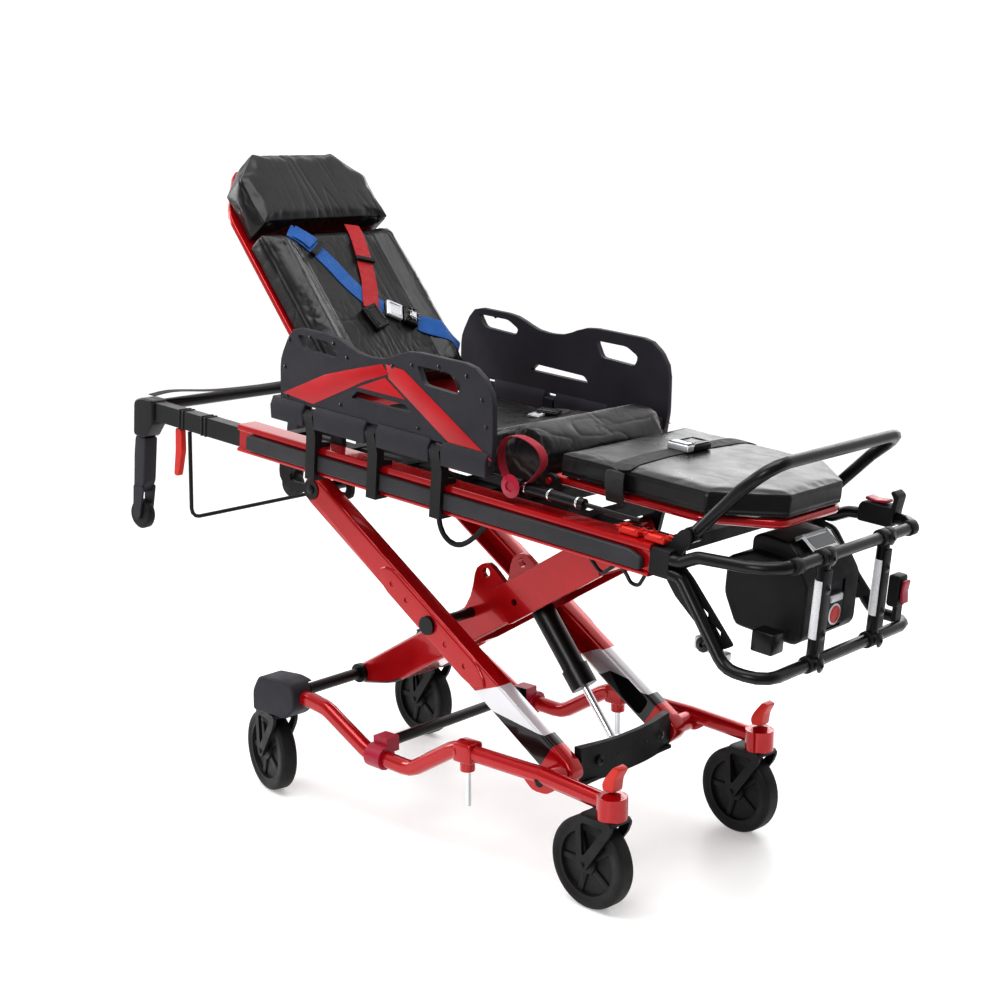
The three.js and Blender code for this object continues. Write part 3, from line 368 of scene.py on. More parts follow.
def film_material():
    material, tree, shader = new_material("reflective_film", (0.74, 0.74, 0.77), 0.3, coat=0.6)
    net = cells(tree, 260, feature="DISTANCE_TO_EDGE")
    tree.links.new(ramp(tree, net, (0.60, 0.60, 0.63), (0.80, 0.80, 0.82), 0.0, 0.12),
                   shader.inputs["Base Color"])
    bump(tree, shader, net, 0.3, 0.0002)
    return material


def vinyl_material():
    material, tree, shader = new_material("vinyl", (0.010, 0.009, 0.0095), 0.36, coat=0.12,
                                          coat_roughness=0.3)
    clouds = grain(tree, 7, detail=5)
    tree.links.new(ramp(tree, clouds, (0.005, 0.0045, 0.0047), (0.012, 0.0105, 0.011)),
                   shader.inputs["Base Color"])
    tree.links.new(ramp(tree, grain(tree, 18), 0.26, 0.40), shader.inputs["Roughness"])
    dents = bump(tree, shader, grain(tree, 30, detail=3), 0.35, 0.002)
    bump(tree, shader, cells(tree, 620), 0.35, 0.0004, dents)
    return material


film = film_material()
vinyl = vinyl_material()

# %% [markdown]
# Webbing is woven flat. Its pattern has to follow the strap, so it reads the strap's own map: one
# wave gives the ribs along its length and a finer one the picks across it.

# %% Webbing
def webbing(name, dark, light, ribs=7, picks=260):
    material, tree, shader = new_material(name, light, 0.6)
    where = node(tree, "TexCoord")
    waves = []
    for direction, scale in (("X", ribs), ("Y", picks)):
        wave = node(tree, "TexWave", bands_direction=direction, Scale=scale, Distortion=0.4)
        wave.inputs["Detail Scale"].default_value = 2.0
        tree.links.new(where.outputs["UV"], wave.inputs["Vector"])
        waves.append(wave.outputs["Fac"])
    both = node(tree, "Math", operation="MULTIPLY")
    for wave, socket in zip(waves, both.inputs):
        tree.links.new(wave, socket)
    tree.links.new(ramp(tree, both.outputs["Value"], dark, light, 0.0, 0.6), shader.inputs["Base Color"])
    tree.links.new(ramp(tree, grain(tree, 60), 0.5, 0.72), shader.inputs["Roughness"])
    shader.inputs["Sheen Weight"].default_value = 0.06
    bump(tree, shader, both.outputs["Value"], 0.5, 0.0006)
    return material


black_webbing = webbing("webbing_black", (0.008, 0.008, 0.008), (0.035, 0.033, 0.034))
blue_webbing = webbing("webbing_blue", (0.003, 0.04, 0.17), (0.006, 0.13, 0.42))
red_webbing = webbing("webbing_red", (0.22, 0.002, 0.005), (0.46, 0.004, 0.010))
crimson_webbing = webbing("webbing_crimson", (0.20, 0.002, 0.012), (0.38, 0.004, 0.030))

# %% [markdown]
# ## Finish on the CAD pieces
# The CAD solids are exact but every edge is razor sharp. Each one is copied, its doubled points are
# merged, and flat regions are dissolved to single faces. A small bevel then catches the light
# along each edge, and round tubes are shaded smooth.

# %% Soften the rigid nodes
finish_of_slot = {"red_paint": red_paint, "satin_black": satin_black, "black_plastic": black_plastic,
                  "grey_plastic": grey_plastic, "bumper_rubber": bumper_rubber,
                  "tyre_rubber": tyre_rubber, "bright_steel": bright_steel, "vinyl": vinyl,
                  "brake_red": brake_red, "crimson_plastic": crimson}
slot_of_node = {entry["node"]: entry["material_slot"] for entry in frame["record"]["subparts"]}
body_of_node = {name: body for body, names in frame["record"]["behaviour"]["bodies"].items()
                for name in names}


def softened(name, width=0.7, material=None):
    source = frame["nodes"][name]
    piece = copy_of(source)
    piece.parent = None
    for key in list(piece.keys()):
        del piece[key]
    only(piece)
    bpy.ops.object.mode_set(mode="EDIT")
    bpy.ops.mesh.select_all(action="SELECT")
    bpy.ops.mesh.remove_doubles(threshold=0.00001)
    bpy.ops.mesh.dissolve_limited(angle_limit=math.radians(0.6))
    bpy.ops.object.mode_set(mode="OBJECT")
    if width:
        bevel(piece, width, 2, 52)
    smooth(piece, 50)
    even = piece.modifiers.new("even", "WEIGHTED_NORMAL")
    even.keep_sharp = True
    apply_modifiers(piece)
    slot = slot_of_node[name]
    dress(piece, "fine_" + name, material or finish_of_slot[slot], body_of_node[name])
    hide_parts(name)
    return piece


soft_nodes = {"backrest_cushion", "headrest_cushion", "seat_cushion", "leg_cushion"}
wheel_nodes = {name for name in frame["nodes"] if name.startswith("castor_wheel")}
fine = {}
for name in sorted(frame["nodes"]):
    if name not in soft_nodes | wheel_nodes:
        fine[name] = softened(name)
print("softened", len(fine), "pieces,", sum(len(p.data.polygons) for p in fine.values()), "faces")

# %% [markdown]
# ## The cable hose
# A black hose feeds the lift actuator. It hangs in a loop under the litter between two clips,
# stiff enough to keep a wide bend. It is a curve through the same points as the CAD hose.

# %% Hose
HOSE_Y = -152
hose_route = [(-80, -63), (-80, -82), (-80, -104), (-79, -126), (-72, -149), (-58, -167), (-38, -177),
              (-16, -178), (4, -170), (22, -157), (38, -142), (53, -126), (67, -112), (77, -97),
              (83, -81), (84, -63)]
hose_points = [litter.at(x, HOSE_Y, z) for x, z in hose_route]


def through(points, steps=6):
    """A smooth line through the points."""
    line = []
    ends = [points[0] * 2 - points[1], *points, points[-1] * 2 - points[-2]]
    for a, b, c, d in zip(ends, ends[1:], ends[2:], ends[3:]):
        for step in range(steps):
            t = step / steps
            line.append(((b * 2) + (c - a) * t + (a * 2 - b * 5 + c * 4 - d) * t ** 2
                         + (b * 3 - a - c * 3 + d) * t ** 3) * 0.5)
    return line + [points[-1]]


def tube_along(name, points, radius, material, body, steps=6):
    curve = bpy.data.curves.new(name, "CURVE")
    curve.dimensions, curve.bevel_depth, curve.bevel_resolution = "3D", radius * MM, 4
    curve.use_fill_caps = True
    line = through(points, steps)
    spline = curve.splines.new("POLY")
    spline.points.add(len(line) - 1)
    for point, place in zip(spline.points, line):
        point.co = (*place, 1)
    piece = bpy.data.objects.new(name, curve)
    bpy.context.scene.collection.objects.link(piece)
    curve.materials.append(material)
    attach(piece, body)
    return piece, line


def length_of(line):
    return sum((b - a).length for a, b in zip(line, line[1:]))


hose, hose_line = tube_along("cable_hose", hose_points, 6, black_plastic, "litter")
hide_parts("actuator_hose")
print("hose", round(length_of(hose_line), 3), "m")

# %% [markdown]
# ## Castor wheels
# Each wheel is a solid tyre on a spoked disc. One wheel is shaped from a cylinder: both ends are
# inset and sunk in steps for the tyre wall, the rim and the web, and five spokes are laid in it.
# Four copies are then turned onto their own axles.

# %% Castor wheels
WHEEL_RADIUS, WHEEL_WIDTH = 100, 42


def on_the_web(radius):
    return lambda centre, normal: abs(normal.z) > 0.9 and centre.xy.length < radius * MM


def wheel_pattern():
    wheel = disc((0, 0, 0), WHEEL_RADIUS, WHEEL_WIDTH, vertices=80)
    bevel(wheel, 9, 5)
    for width, sink, reach in ((9, 0, 92), (2, -1.5, 84), (9, 0, 82), (2, -9, 74), (44, 0, 70), (2, 8, 26),
                               (10, 0, 25), (2, -2, 16)):
        pick_faces(wheel, on_the_web(reach))
        bpy.ops.mesh.inset(thickness=width * MM, depth=sink * MM)
        bpy.ops.object.mode_set(mode="OBJECT")
    spokes = []
    for turn in range(5):
        spoke = block((47, 0, 0), (52, 15, 30))
        bevel(spoke, 2.5, 2)
        spoke.data.transform(Matrix.Rotation(turn * math.tau / 5, 4, "Z"))
        spokes.append(spoke)
    wheel = smooth(join([wheel, *spokes]), 38)
    wheel.data.materials.clear()
    wheel.data.materials.append(tyre_rubber)
    wheel.data.materials.append(black_plastic)
    for face in wheel.data.polygons:
        face.material_index = int(Vector(face.center).xy.length < 80 * MM)
    return wheel


pattern_wheel = wheel_pattern()
for where in ("head_r", "head_l", "foot_r", "foot_l"):
    roll = joints["roll_" + where]
    axle = Vector(roll["axis"])
    turn = axle.to_track_quat("Z", "Y").to_matrix().to_4x4()
    wheel = copy_of(pattern_wheel, Matrix.Translation(Vector(roll["pos_m"])) @ turn)
    wheel.name = wheel.data.name = "wheel_" + where + "_moulded"
    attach(wheel, "wheel_" + where)
    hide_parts("castor_wheel_" + where)
bpy.data.objects.remove(pattern_wheel)

# %% [markdown]
# ## Cushions
# A pad of welded vinyl over foam is crowned, with sides that pull in between its corners. Each one
# starts as a subdivided block shaped to its outline, gets an even skin of small faces, and is then
# blown up a little as cloth. Its movement is capped so that it keeps its size.

# %% Cushion helpers
def shaped_block(low, high, cuts, chamfers=(), shape=None):
    low, high = Vector(low), Vector(high)
    piece = block((low + high) / 2, high - low)
    bpy.ops.object.mode_set(mode="EDIT")
    bpy.ops.mesh.subdivide(number_cuts=cuts)
    for point, normal in chamfers:
        bpy.ops.mesh.select_all(action="SELECT")
        bpy.ops.mesh.bisect(plane_co=Vector(point) * MM, plane_no=normal, use_fill=True, clear_outer=True)
    bpy.ops.object.mode_set(mode="OBJECT")
    if shape:
        for vertex in piece.data.vertices:
            vertex.co = Vector(shape(*(vertex.co / MM))) * MM
    return piece


def puff(piece, floor_height, cap, pressure=4.0, frames=20):
    """Blows the skin up as cloth, and lets no point move further than the cap."""
    start = [vertex.co.copy() for vertex in piece.data.vertices]
    cloth = piece.modifiers.new("cloth", "CLOTH")
    cloth.settings.quality = 5
    cloth.settings.use_pressure = True
    cloth.settings.uniform_pressure_force = pressure
    cloth.settings.effector_weights.gravity = 0
    cloth.point_cache.frame_end = frames
    for number in range(1, frames + 1):
        bpy.context.scene.frame_set(number)
    blown = piece.evaluated_get(bpy.context.evaluated_depsgraph_get())
    moved = [vertex.co.copy() for vertex in blown.data.vertices]
    piece.modifiers.remove(cloth)
    bpy.context.scene.frame_set(1)
    for vertex, before, after in zip(piece.data.vertices, start, moved):
        offset = after - before
        if offset.length > cap * MM:
            offset *= cap * MM / offset.length
        vertex.co = before + offset
        vertex.co.z = max(vertex.co.z, floor_height * MM)


def sink(piece, amount):
    """Moves each vertex inwards by amount(x, y, z, normal), in millimetres."""
    moves = [amount(*(v.co / MM), v.normal.copy()) for v in piece.data.vertices]
    normals = [v.normal.copy() for v in piece.data.vertices]
    for vertex, move, normal in zip(piece.data.vertices, moves, normals):
        vertex.co -= normal * move * MM


def crease(x, y, z, size, depth, seed):
    """Soft folds: thin valleys where a stretched noise crosses zero."""
    value = noise.noise(Vector((x / size[0], y / size[1], z / size[2] + seed)))
    patch = max(0.0, noise.noise(Vector((x / 160, y / 160, seed * 3.1))) + 0.25)
    return depth * patch * (1 - min(1, abs(value) * 2.2)) ** 5


def groove(distance, depth=1.8, half_width=2.6):
    return depth * math.exp(-(distance / half_width) ** 2)


def cushion(name, place, piece, floor_height, cap, surface, body, node_name):
    bevel(piece, 7, 3, 30)
    only(piece)
    piece.data.remesh_voxel_size = 0.006
    bpy.ops.object.voxel_remesh()
    puff(piece, floor_height, cap)
    refine = piece.modifiers.new("refine", "SUBSURF")
    refine.levels = refine.render_levels = 1
    apply_modifiers(piece)
    sink(piece, surface)
    for face in piece.data.polygons:
        face.use_smooth = True
    piece.data.transform(place.matrix())
    dress(piece, name, vinyl, body)
    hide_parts(node_name)
    print(name, len(piece.data.polygons), "faces")
    return piece


# %% [markdown]
# The back cushion has a flat middle between two raised bolsters that hold the patient. The
# headrest is a thick pad with its top corners cut off.

# %% Back and headrest cushions
HALF = 225


def bolster(x, y, z):
    side = abs(y)
    rise = max(0.0, 1 - abs(side - 176) / 46) * 25
    taper = min(1.0, (x + 506) / 40) if x < -466 else 1.0
    return x, y, 3 + (z - 3) * (55 + rise * taper) / 55


def back_surface(x, y, z, normal):
    seams = groove(abs(y) - 133) if normal.z > 0.3 else groove(z - 46) * (normal.z < 0.5)
    folds = crease(x, y, z, (150, 20, 60), 2.4, 3.0) + crease(x, y, z, (45, 30, 60), 1.6, 9.0)
    return seams + folds + groove(x + 230, 1.2, 3) * (abs(y) < 130) * (normal.z > 0.3)


back_pad = cushion("back_cushion", back, shaped_block((-494, -HALF + 6, 3), (-62, HALF - 6, 58), 22,
                   shape=bolster), 2, 8, back_surface, "backrest", "backrest_cushion")


def headrest_surface(x, y, z, normal):
    seams = (groove(z - 70) + groove(z - 12)) * (abs(normal.z) < 0.6)
    return seams + crease(x + y * 0.4, y, z, (260, 24, 90), 1.7, 5.0)


headrest_cuts = [((-638, side * 215, 0), (-92, side * 92, 0)) for side in (-1, 1)]
head_pad = cushion("headrest", back, shaped_block((-716, -213, 3), (-508, 213, 78), 14, headrest_cuts),
                   2, 8, headrest_surface, "backrest", "headrest_cushion")

# %% [markdown]
# The seat rises to a knee hump. Its cover has loose flaps at both sides of the hump. The leg
# cushion is a flat box pad with its foot corners cut off, and a seam runs round its upper edge.

# %% Seat and leg cushions
SEAT_TOP = [(-319, 80), (-70, 82), (110, 108), (214, 148), (246, 140), (272, 92)]


def profile(x, points):
    for (x0, z0), (x1, z1) in zip(points, points[1:]):
        if x <= x1:
            share = max(0.0, (x - x0) / (x1 - x0))
            return z0 + (z1 - z0) * share
    return points[-1][1]


def seat_shape(x, y, z):
    top = profile(x, SEAT_TOP)
    flap = 10 * max(0.0, min(1.0, (x - 90) / 80))
    waist = 1 + (flap - 4) / 205 * (z - 18) / 60
    return x, y * waist, 19 + (z - 19) * (top - 19) / 60


def seat_surface(x, y, z, normal):
    side = crease(x, y, z, (60, 40, 18), 3.0, 2.0) if abs(normal.y) > 0.5 else 0
    seam = groove(x - 96, 2.2, 3) * (normal.z > 0.2) + groove(x + 120, 1.4, 3) * (normal.z > 0.2)
    return side + seam + crease(x, y, z, (40, 110, 60), 2.6, 7.0) + crease(x, y, z, (30, 26, 40), 1.2, 4.0)


seat_pad = cushion("seat_cushion_cover", litter, shaped_block((-314, -198, 19), (270, 198, 79), 26,
                   shape=seat_shape), 18, 7, seat_surface, "litter", "seat_cushion")
leg_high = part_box("leg_cushion")[1]
LEG_END = (leg_high.x - legs_up.origin.x) / MM - 4
leg_cuts = [((LEG_END - 82, side * 176, 0), (95, side * 165, 0)) for side in (-1, 1)]


def leg_surface(x, y, z, normal):
    seams = (groove(z - 56) + groove(z - 20)) * (abs(normal.z) < 0.6)
    return seams + crease(x, y, z, (90, 60, 60), 1.3, 1.0)


leg_block = shaped_block((16, -HALF + 5, 14), (LEG_END - 6, HALF - 5, 60), 18, leg_cuts)
leg_pad = cushion("leg_cushion_cover", legs_up, leg_block, 13.5, 6, leg_surface, "leg_section",
                  "leg_cushion")

# %% [markdown]
# ## Belts
# A belt lies on whatever is under it. Its route is drawn flat over a cushion, and rays sent down
# onto the cushion give its height at five places across its width. Small hollows are bridged,
# because webbing is tight. The ribbon then gets a thickness and a map that runs along it.

# %% Belt helpers
def surface_of(*pieces):
    points, faces = [], []
    for piece in pieces:
        start = len(points)
        points += [vertex.co.copy() for vertex in piece.data.vertices]
        faces += [[start + i for i in face.vertices] for face in piece.data.polygons]
    return BVHTree.FromPolygons(points, faces)


def laid_rows(surface, place, route, width, lift=1.2, columns=5):
    line = through([Vector((x, y, 0)) for x, y in route], 10)
    rows, base = [], 60.0
    heights = []
    for i, point in enumerate(line):
        run = (line[min(i + 1, len(line) - 1)] - line[max(i - 1, 0)]).normalized()
        side = Vector((-run.y, run.x, 0))
        row = [point + side * width * (k / (columns - 1) - 0.5) for k in range(columns)]
        levels = []
        for spot in row:
            hit = surface.ray_cast(place.at(spot.x, spot.y, 400), -place.up, 1.0)[0]
            if hit is not None:
                base = (hit - place.origin).dot(place.up) / MM
            levels.append(base + lift)
        rows.append(row)
        heights.append(levels)
    for _ in range(10):
        for k in range(columns):
            for i in range(1, len(rows) - 1):
                heights[i][k] = max(heights[i][k], (heights[i - 1][k] + heights[i + 1][k]) / 2)
    return [[place.at(p.x, p.y, z) for p, z in zip(row, levels)] for row, levels in zip(rows, heights)]


def free_rows(points, sides, width, steps=8, columns=5):
    """Rows along points in the frame, with the width held along the given side directions."""
    line = through(points, steps)
    side_line = through(sides, steps)
    return [[p + s.normalized() * width * MM * (k / (columns - 1) - 0.5) for k in range(columns)]
            for p, s in zip(line, side_line)]


def ribbon(name, rows, material, body, thickness=1.5):
    columns = len(rows[0])
    points = [p for row in rows for p in row]
    faces = [(r * columns + k, r * columns + k + 1, (r + 1) * columns + k + 1, (r + 1) * columns + k)
             for r in range(len(rows) - 1) for k in range(columns - 1)]
    mesh = bpy.data.meshes.new(name)
    mesh.from_pydata(points, [], faces)
    run = [0.0]
    for a, b in zip(rows, rows[1:]):
        run.append(run[-1] + (b[columns // 2] - a[columns // 2]).length)
    layer = mesh.uv_layers.new(name="UVMap")
    for loop in mesh.loops:
        row, column = divmod(loop.vertex_index, columns)
        layer.data[loop.index].uv = (column / (columns - 1), run[row] * 4)
    piece = bpy.data.objects.new(name, mesh)
    bpy.context.scene.collection.objects.link(piece)
    solid = piece.modifiers.new("thickness", "SOLIDIFY")
    solid.thickness, solid.offset = thickness * MM, 0
    round_off = piece.modifiers.new("soft", "SUBSURF")
    round_off.levels = round_off.render_levels = 1
    apply_modifiers(piece)
    for face in piece.data.polygons:
        face.use_smooth = True
    return dress(piece, name, material, body)


# %% [markdown]
# The shoulder belts are colour coded: a blue one crosses the chest to a bright buckle and a red
# one hangs from the middle into a black buckle. Each has a short folded tail. Black belts cross
# the lap and the legs.

# %% Belts
back_surface_tree = surface_of(back_pad, head_pad)
BELT = 48


def back_belt(name, route, material, lift=1.2, thickness=1.5):
    rows = laid_rows(back_surface_tree, back, route, BELT, lift)
    ribbon(name, rows, material, "backrest", thickness)


back_belt("shoulder_belt_blue", [(-496, -128), (-462, -98), (-400, -62), (-330, -32), (-282, 0), (-252, 34)],
          blue_webbing)
back_belt("hip_belt_blue", [(-200, 118), (-180, 146), (-150, 184), (-112, 222)], blue_webbing)
back_belt("shoulder_belt_red", [(-500, 82), (-470, 76), (-400, 56), (-330, 32), (-280, 6), (-252, -8)],
          red_webbing, 3.4)
back_belt("shoulder_belt_blue_tail", [(-492, -116), (-470, -96), (-446, -82)], blue_webbing,
          5.5, 2.4)
back_belt("shoulder_belt_red_tail", [(-446, 66), (-420, 60), (-394, 53)], red_webbing,
          7.5, 2.6)
seat_tree = surface_of(seat_pad)
lap_rows = laid_rows(seat_tree, litter, [(-60, 196), (-20, 168), (20, 136), (44, 96), (40, 60)], 46)
ribbon("lap_belt", lap_rows, black_webbing, "litter")
leg_tree = surface_of(leg_pad)
leg_x = 456 - (legs_up.origin - litter.origin).dot(litter.along) / MM
leg_rows = laid_rows(leg_tree, legs_up, [(leg_x + 16, 219), (leg_x + 10, 150), (leg_x, 60),
                                         (leg_x - 4, -60), (leg_x + 2, -150), (leg_x + 8, -219)], BELT)
down = [(leg_x + 8, -230, 58), (leg_x + 10, -235, 40), (leg_x + 12, -234, 14), (leg_x + 10, -226, -8)]
side_down = free_rows([legs_up.at(*p) for p in down], [-litter.along] * len(down), BELT)
far_down = free_rows([legs_up.at(leg_x + 16, -y, z) for x, y, z in reversed(down)],
                     [-litter.along] * len(down), BELT)
ribbon("leg_belt", far_down + leg_rows + side_down, black_webbing, "leg_section")

# %% [markdown]
# ## Two finishes on one casting
# The rail's clips, the console, the mast's axle, the tube clamps and the motor's end are another
# colour than the rest of their node. Faces are picked by where they are in the part's own place.

# %% Second finishes
def paint_faces(piece, place, material, wanted):
    piece.data.materials.append(material)
    index = len(piece.data.materials) - 1
    back_to_local = place.matrix().inverted()
    for face in piece.data.polygons:
        if wanted(*((back_to_local @ face.center) / MM)):
            face.material_index = index


CLIPS, CLIP_HALF = (-343, -144, 50), 17
RAIL_TOP, RAIL_UNDERSIDE, RAIL_OUTER = 0.6, -66.6, 290.6
CONSOLE_UNDERSIDE, MAST_FOOT, CLAMP_INNER, MOTOR_END = -6, -262, 238, 49
mast_turn = math.radians(31)
mast_place = Place(joints["scissor"]["pos_m"], (math.cos(mast_turn), 0, math.sin(mast_turn)),
                   (-math.sin(mast_turn), 0, math.cos(mast_turn)))


def on_a_clip(x, y, z):
    outside = z > RAIL_TOP or z < RAIL_UNDERSIDE or abs(y) > RAIL_OUTER
    return outside and min(abs(x - clip) for clip in CLIPS) < CLIP_HALF


for side in "rl":
    paint_faces(fine["side_rail_" + side], litter, black_plastic, on_a_clip)
paint_faces(fine["battery_box"], litter, satin_black, lambda x, y, z: z > CONSOLE_UNDERSIDE)
paint_faces(fine["mast"], mast_place, satin_black, lambda x, y, z: x < MAST_FOOT)
paint_faces(fine["base_cross_tube"], level, crimson, lambda x, y, z: abs(y) > CLAMP_INNER)
paint_faces(fine["actuator_barrel"], mast_place, cast_silver, lambda x, y, z: x < MOTOR_END)

# %% [markdown]
# The legs are red with a white reflective flash and a black lower stretch. The edges of the flash
# are slanted. Two dot products give the distance along the leg and across it, and comparing them
# with straight lines picks the colour.

# %% Leg paint
leg_turn = math.radians(34)
leg_place = Place(joints["lift"]["pos_m"], (-math.cos(leg_turn), 0, math.sin(leg_turn)),
                  (math.sin(leg_turn), 0, math.cos(leg_turn)))


def math_node(tree, operation, first, second):
    made = node(tree, "Math", operation=operation)
    for socket, value in zip(made.inputs, (first, second)):
        if isinstance(value, float):
            socket.default_value = value
        else:
            tree.links.new(value, socket)
    return made.outputs["Value"]


def distance_along(tree, place, direction):
    where = node(tree, "TexCoord")
    dot = node(tree, "VectorMath", operation="DOT_PRODUCT")
    tree.links.new(where.outputs["Object"], dot.inputs[0])
    dot.inputs[1].default_value = direction
    return math_node(tree, "SUBTRACT", dot.outputs["Value"], float(place.origin.dot(direction)))


def mixed(tree, mask, low, high):
    mix = node(tree, "Mix", data_type="RGBA")
    tree.links.new(mask, mix.inputs["Factor"])
    for socket, value in ((mix.inputs[6], low), (mix.inputs[7], high)):
        if isinstance(value, tuple):
            socket.default_value = (*value, 1)
        else:
            tree.links.new(value, socket)
    return mix.outputs[2]


def leg_material():
    material, tree, shader = new_material("leg_paint", (0.38, 0.004, 0.007), 0.22, 0.35, 0.6, 0.06)
    run = distance_along(tree, leg_place, leg_place.along)
    rise = distance_along(tree, leg_place, leg_place.up)

    def below(slant, distance):
        leaning = math_node(tree, "ADD", run, math_node(tree, "MULTIPLY", rise, slant))
        return math_node(tree, "LESS_THAN", leaning, distance)

    flash, dark = below(0.74, 0.258), below(2.2, 0.154)
    boot = math_node(tree, "LESS_THAN", run, 0.050)
    red = ramp(tree, grain(tree, 9), (0.36, 0.003, 0.006), (0.41, 0.004, 0.008))
    colour = mixed(tree, flash, red, (0.66, 0.66, 0.69))
    colour = mixed(tree, dark, colour, (0.010, 0.009, 0.010))
    tree.links.new(mixed(tree, boot, colour, red), shader.inputs["Base Color"])
    tree.links.new(ramp(tree, grain(tree, 26), 0.20, 0.25), shader.inputs["Roughness"])
    bump(tree, shader, grain(tree, 420), 0.6, 0.00006)
    return material


leg_paint = leg_material()
for side in "rl":
    fine["outer_leg_" + side].data.materials[0] = leg_paint

# %% [markdown]
# ## Plates, screws and clamps
# Flat trim starts as a filled ring whose corners are moved to the outline, and is then extruded.
# Screws are one socket head, shaped from a short cylinder and copied to every place.

# %% Trim helpers
def panelled(piece, wanted, border, step, depth):
    """Insets the wanted faces by a border, then by a small step that sinks or lifts the middle."""
    pick_faces(piece, wanted)
    bpy.ops.mesh.inset(thickness=border * MM)
    bpy.ops.mesh.inset(thickness=step * MM, depth=depth * MM)
    bpy.ops.object.mode_set(mode="OBJECT")
    return piece


def plate(name, place, outline, y_outside, thickness, material, body, edge=0.25):
    """A thin plate in a lengthways plane: its outline is in x and z, its outer face at y."""
    deselect()
    bpy.ops.mesh.primitive_circle_add(vertices=len(outline), radius=1, fill_type="NGON")
    piece = bpy.context.object
    for vertex, (x, z) in zip(piece.data.vertices, outline):
        vertex.co = Vector((x, y_outside, z)) * MM
    only(piece)
    bpy.ops.object.mode_set(mode="EDIT")
    bpy.ops.mesh.select_all(action="SELECT")
    inward = -math.copysign(thickness, y_outside) * MM
    bpy.ops.mesh.extrude_region_move(TRANSFORM_OT_translate={"value": (0, inward, 0)})
    bpy.ops.mesh.select_all(action="SELECT")
    bpy.ops.mesh.normals_make_consistent(inside=False)
    bpy.ops.object.mode_set(mode="OBJECT")
    bevel(piece, edge, 2, 30)
    piece.data.transform(place.matrix())
    return smooth(dress(piece, name, material, body), 30)


def screw_pattern(radius, height):
    head = disc((0, 0, 0), radius, height, vertices=20)
    bevel(head, radius * 0.16, 2)
    return panelled(head, lambda centre, normal: normal.z > 0.9 and centre.z > 0,
                    radius * 0.45, radius * 0.03, -height * 0.5)


def screws(name, spots, radius, height, material, body):
    """spots are (point, outward direction) pairs in the frame."""
    pattern = screw_pattern(radius, height)
    heads = []
    for point, outward in spots:
        turn = Vector(outward).to_track_quat("Z", "Y").to_matrix().to_4x4()
        heads.append(copy_of(pattern, Matrix.Translation(point) @ turn))
    bpy.data.objects.remove(pattern)
    return smooth(dress(join(heads), name, material, body), 35)


def fitted(piece, name, material, body="litter"):
    """Puts a piece made in the litter's own millimetres where it belongs."""
    piece.data.transform(litter.matrix())
    return smooth(dress(piece, name, material, body), 35)


# %% [markdown]
# The outer faces of both side boards carry a plain red chevron and a row of screws.

# %% Side board trim
BOARD_FACE, CLIP_FACE = 312.3, 298.5
left_stripe = [(-436, 112), (-300, 178), (-205, 208), (-124, 232), (-100, 214), (-176, 184), (-250, 146),
               (-334, 104)]
right_stripe = [(-112, 234), (-56, 230), (208, 86), (112, 84), (-100, 204)]
board_screws = [(-432, 172), (-420, 236), (-352, 252), (-276, 250), (-232, 226), (-92, 232), (-34, 244),
                (44, 254), (124, 248), (170, 206), (186, 152), (-246, 118), (-6, 112), (-420, 108)]
window = [(-196, 168), (-112, 204), (-48, 168)]
for side, sign in (("r", -1), ("l", 1)):
    body, face = "side_board_" + side, sign * BOARD_FACE
    for number, shape in enumerate((left_stripe, right_stripe, window)):
        plate(f"board_stripe_{side}_{number + 1}", litter, shape, face + sign * 0.5, 0.8,
              stripe_red, body)
    spots = [(litter.at(x, face, z), Vector((0, sign, 0))) for x, z in board_screws]
    screws("board_screws_" + side, spots, 2.6, 1.4, satin_black, body)
    rail_spots = [(litter.at(x, sign * CLIP_FACE, -38), Vector((0, sign, 0))) for x in CLIPS]
    screws("clip_screws_" + side, rail_spots, 4.5, 3, satin_black, "litter")

# %% [markdown]
# The cage at the foot end is clamped together. Split collars sit where the posts meet the tubes,
# each with a bolt. A black cover strip closes each post towards the foot end, over white film.

# %% Cage trim
CAGE_X, UPPER_Z, LOWER_Z, POST_Y = 890, 14, -203, 114


def collar(centre, radius, width, axis):
    ring = disc(centre, radius, width, axis, vertices=28)
    return bevel(ring, 1.5, 2)


collars = []
for y in (-POST_Y, POST_Y):
    for z, x in ((UPPER_Z, CAGE_X), (LOWER_Z, CAGE_X - 4)):
        collars += [collar((x, y + shift, z), 17.5, 21, (0, 1, 0)) for shift in (-11, 11)]
    collars.append(collar((CAGE_X, y * 1.9, UPPER_Z), 16, 22, (0, 1, 0)))
    collars.append(bevel(block((CAGE_X + 11, y, -94), (7, 25, 168)), 2, 2))
fitted(join(collars), "cage_collars", black_plastic)
foot_way = litter.along
screws("cage_bolts", [(litter.at(CAGE_X + 18, y, z), foot_way) for y in (-POST_Y, POST_Y)
                      for z in (UPPER_Z, LOWER_Z)], 5.5, 4, satin_black, "litter")
screws("post_bolts", [(litter.at(CAGE_X + 14.5, y, z), foot_way) for y in (-POST_Y, POST_Y)
                      for z in (-48, -140)], 4.5, 3, satin_black, "litter")
junction = bevel(block((806, -150, -172), (50, 44, 44)), 4, 3)
fitted(junction, "cable_junction", satin_black)
films = join([bevel(disc((CAGE_X - 1, y, -92), 13.8, 118, (0.01, 0, 1), vertices=28), 0.4, 1)
              for y in (-POST_Y, POST_Y)])
fitted(films, "post_films", film)

# %% [markdown]
# The battery pack has a plain red disc in a white ring and a bright latch above it. The console
# has a dark, blank display in a silver bezel.

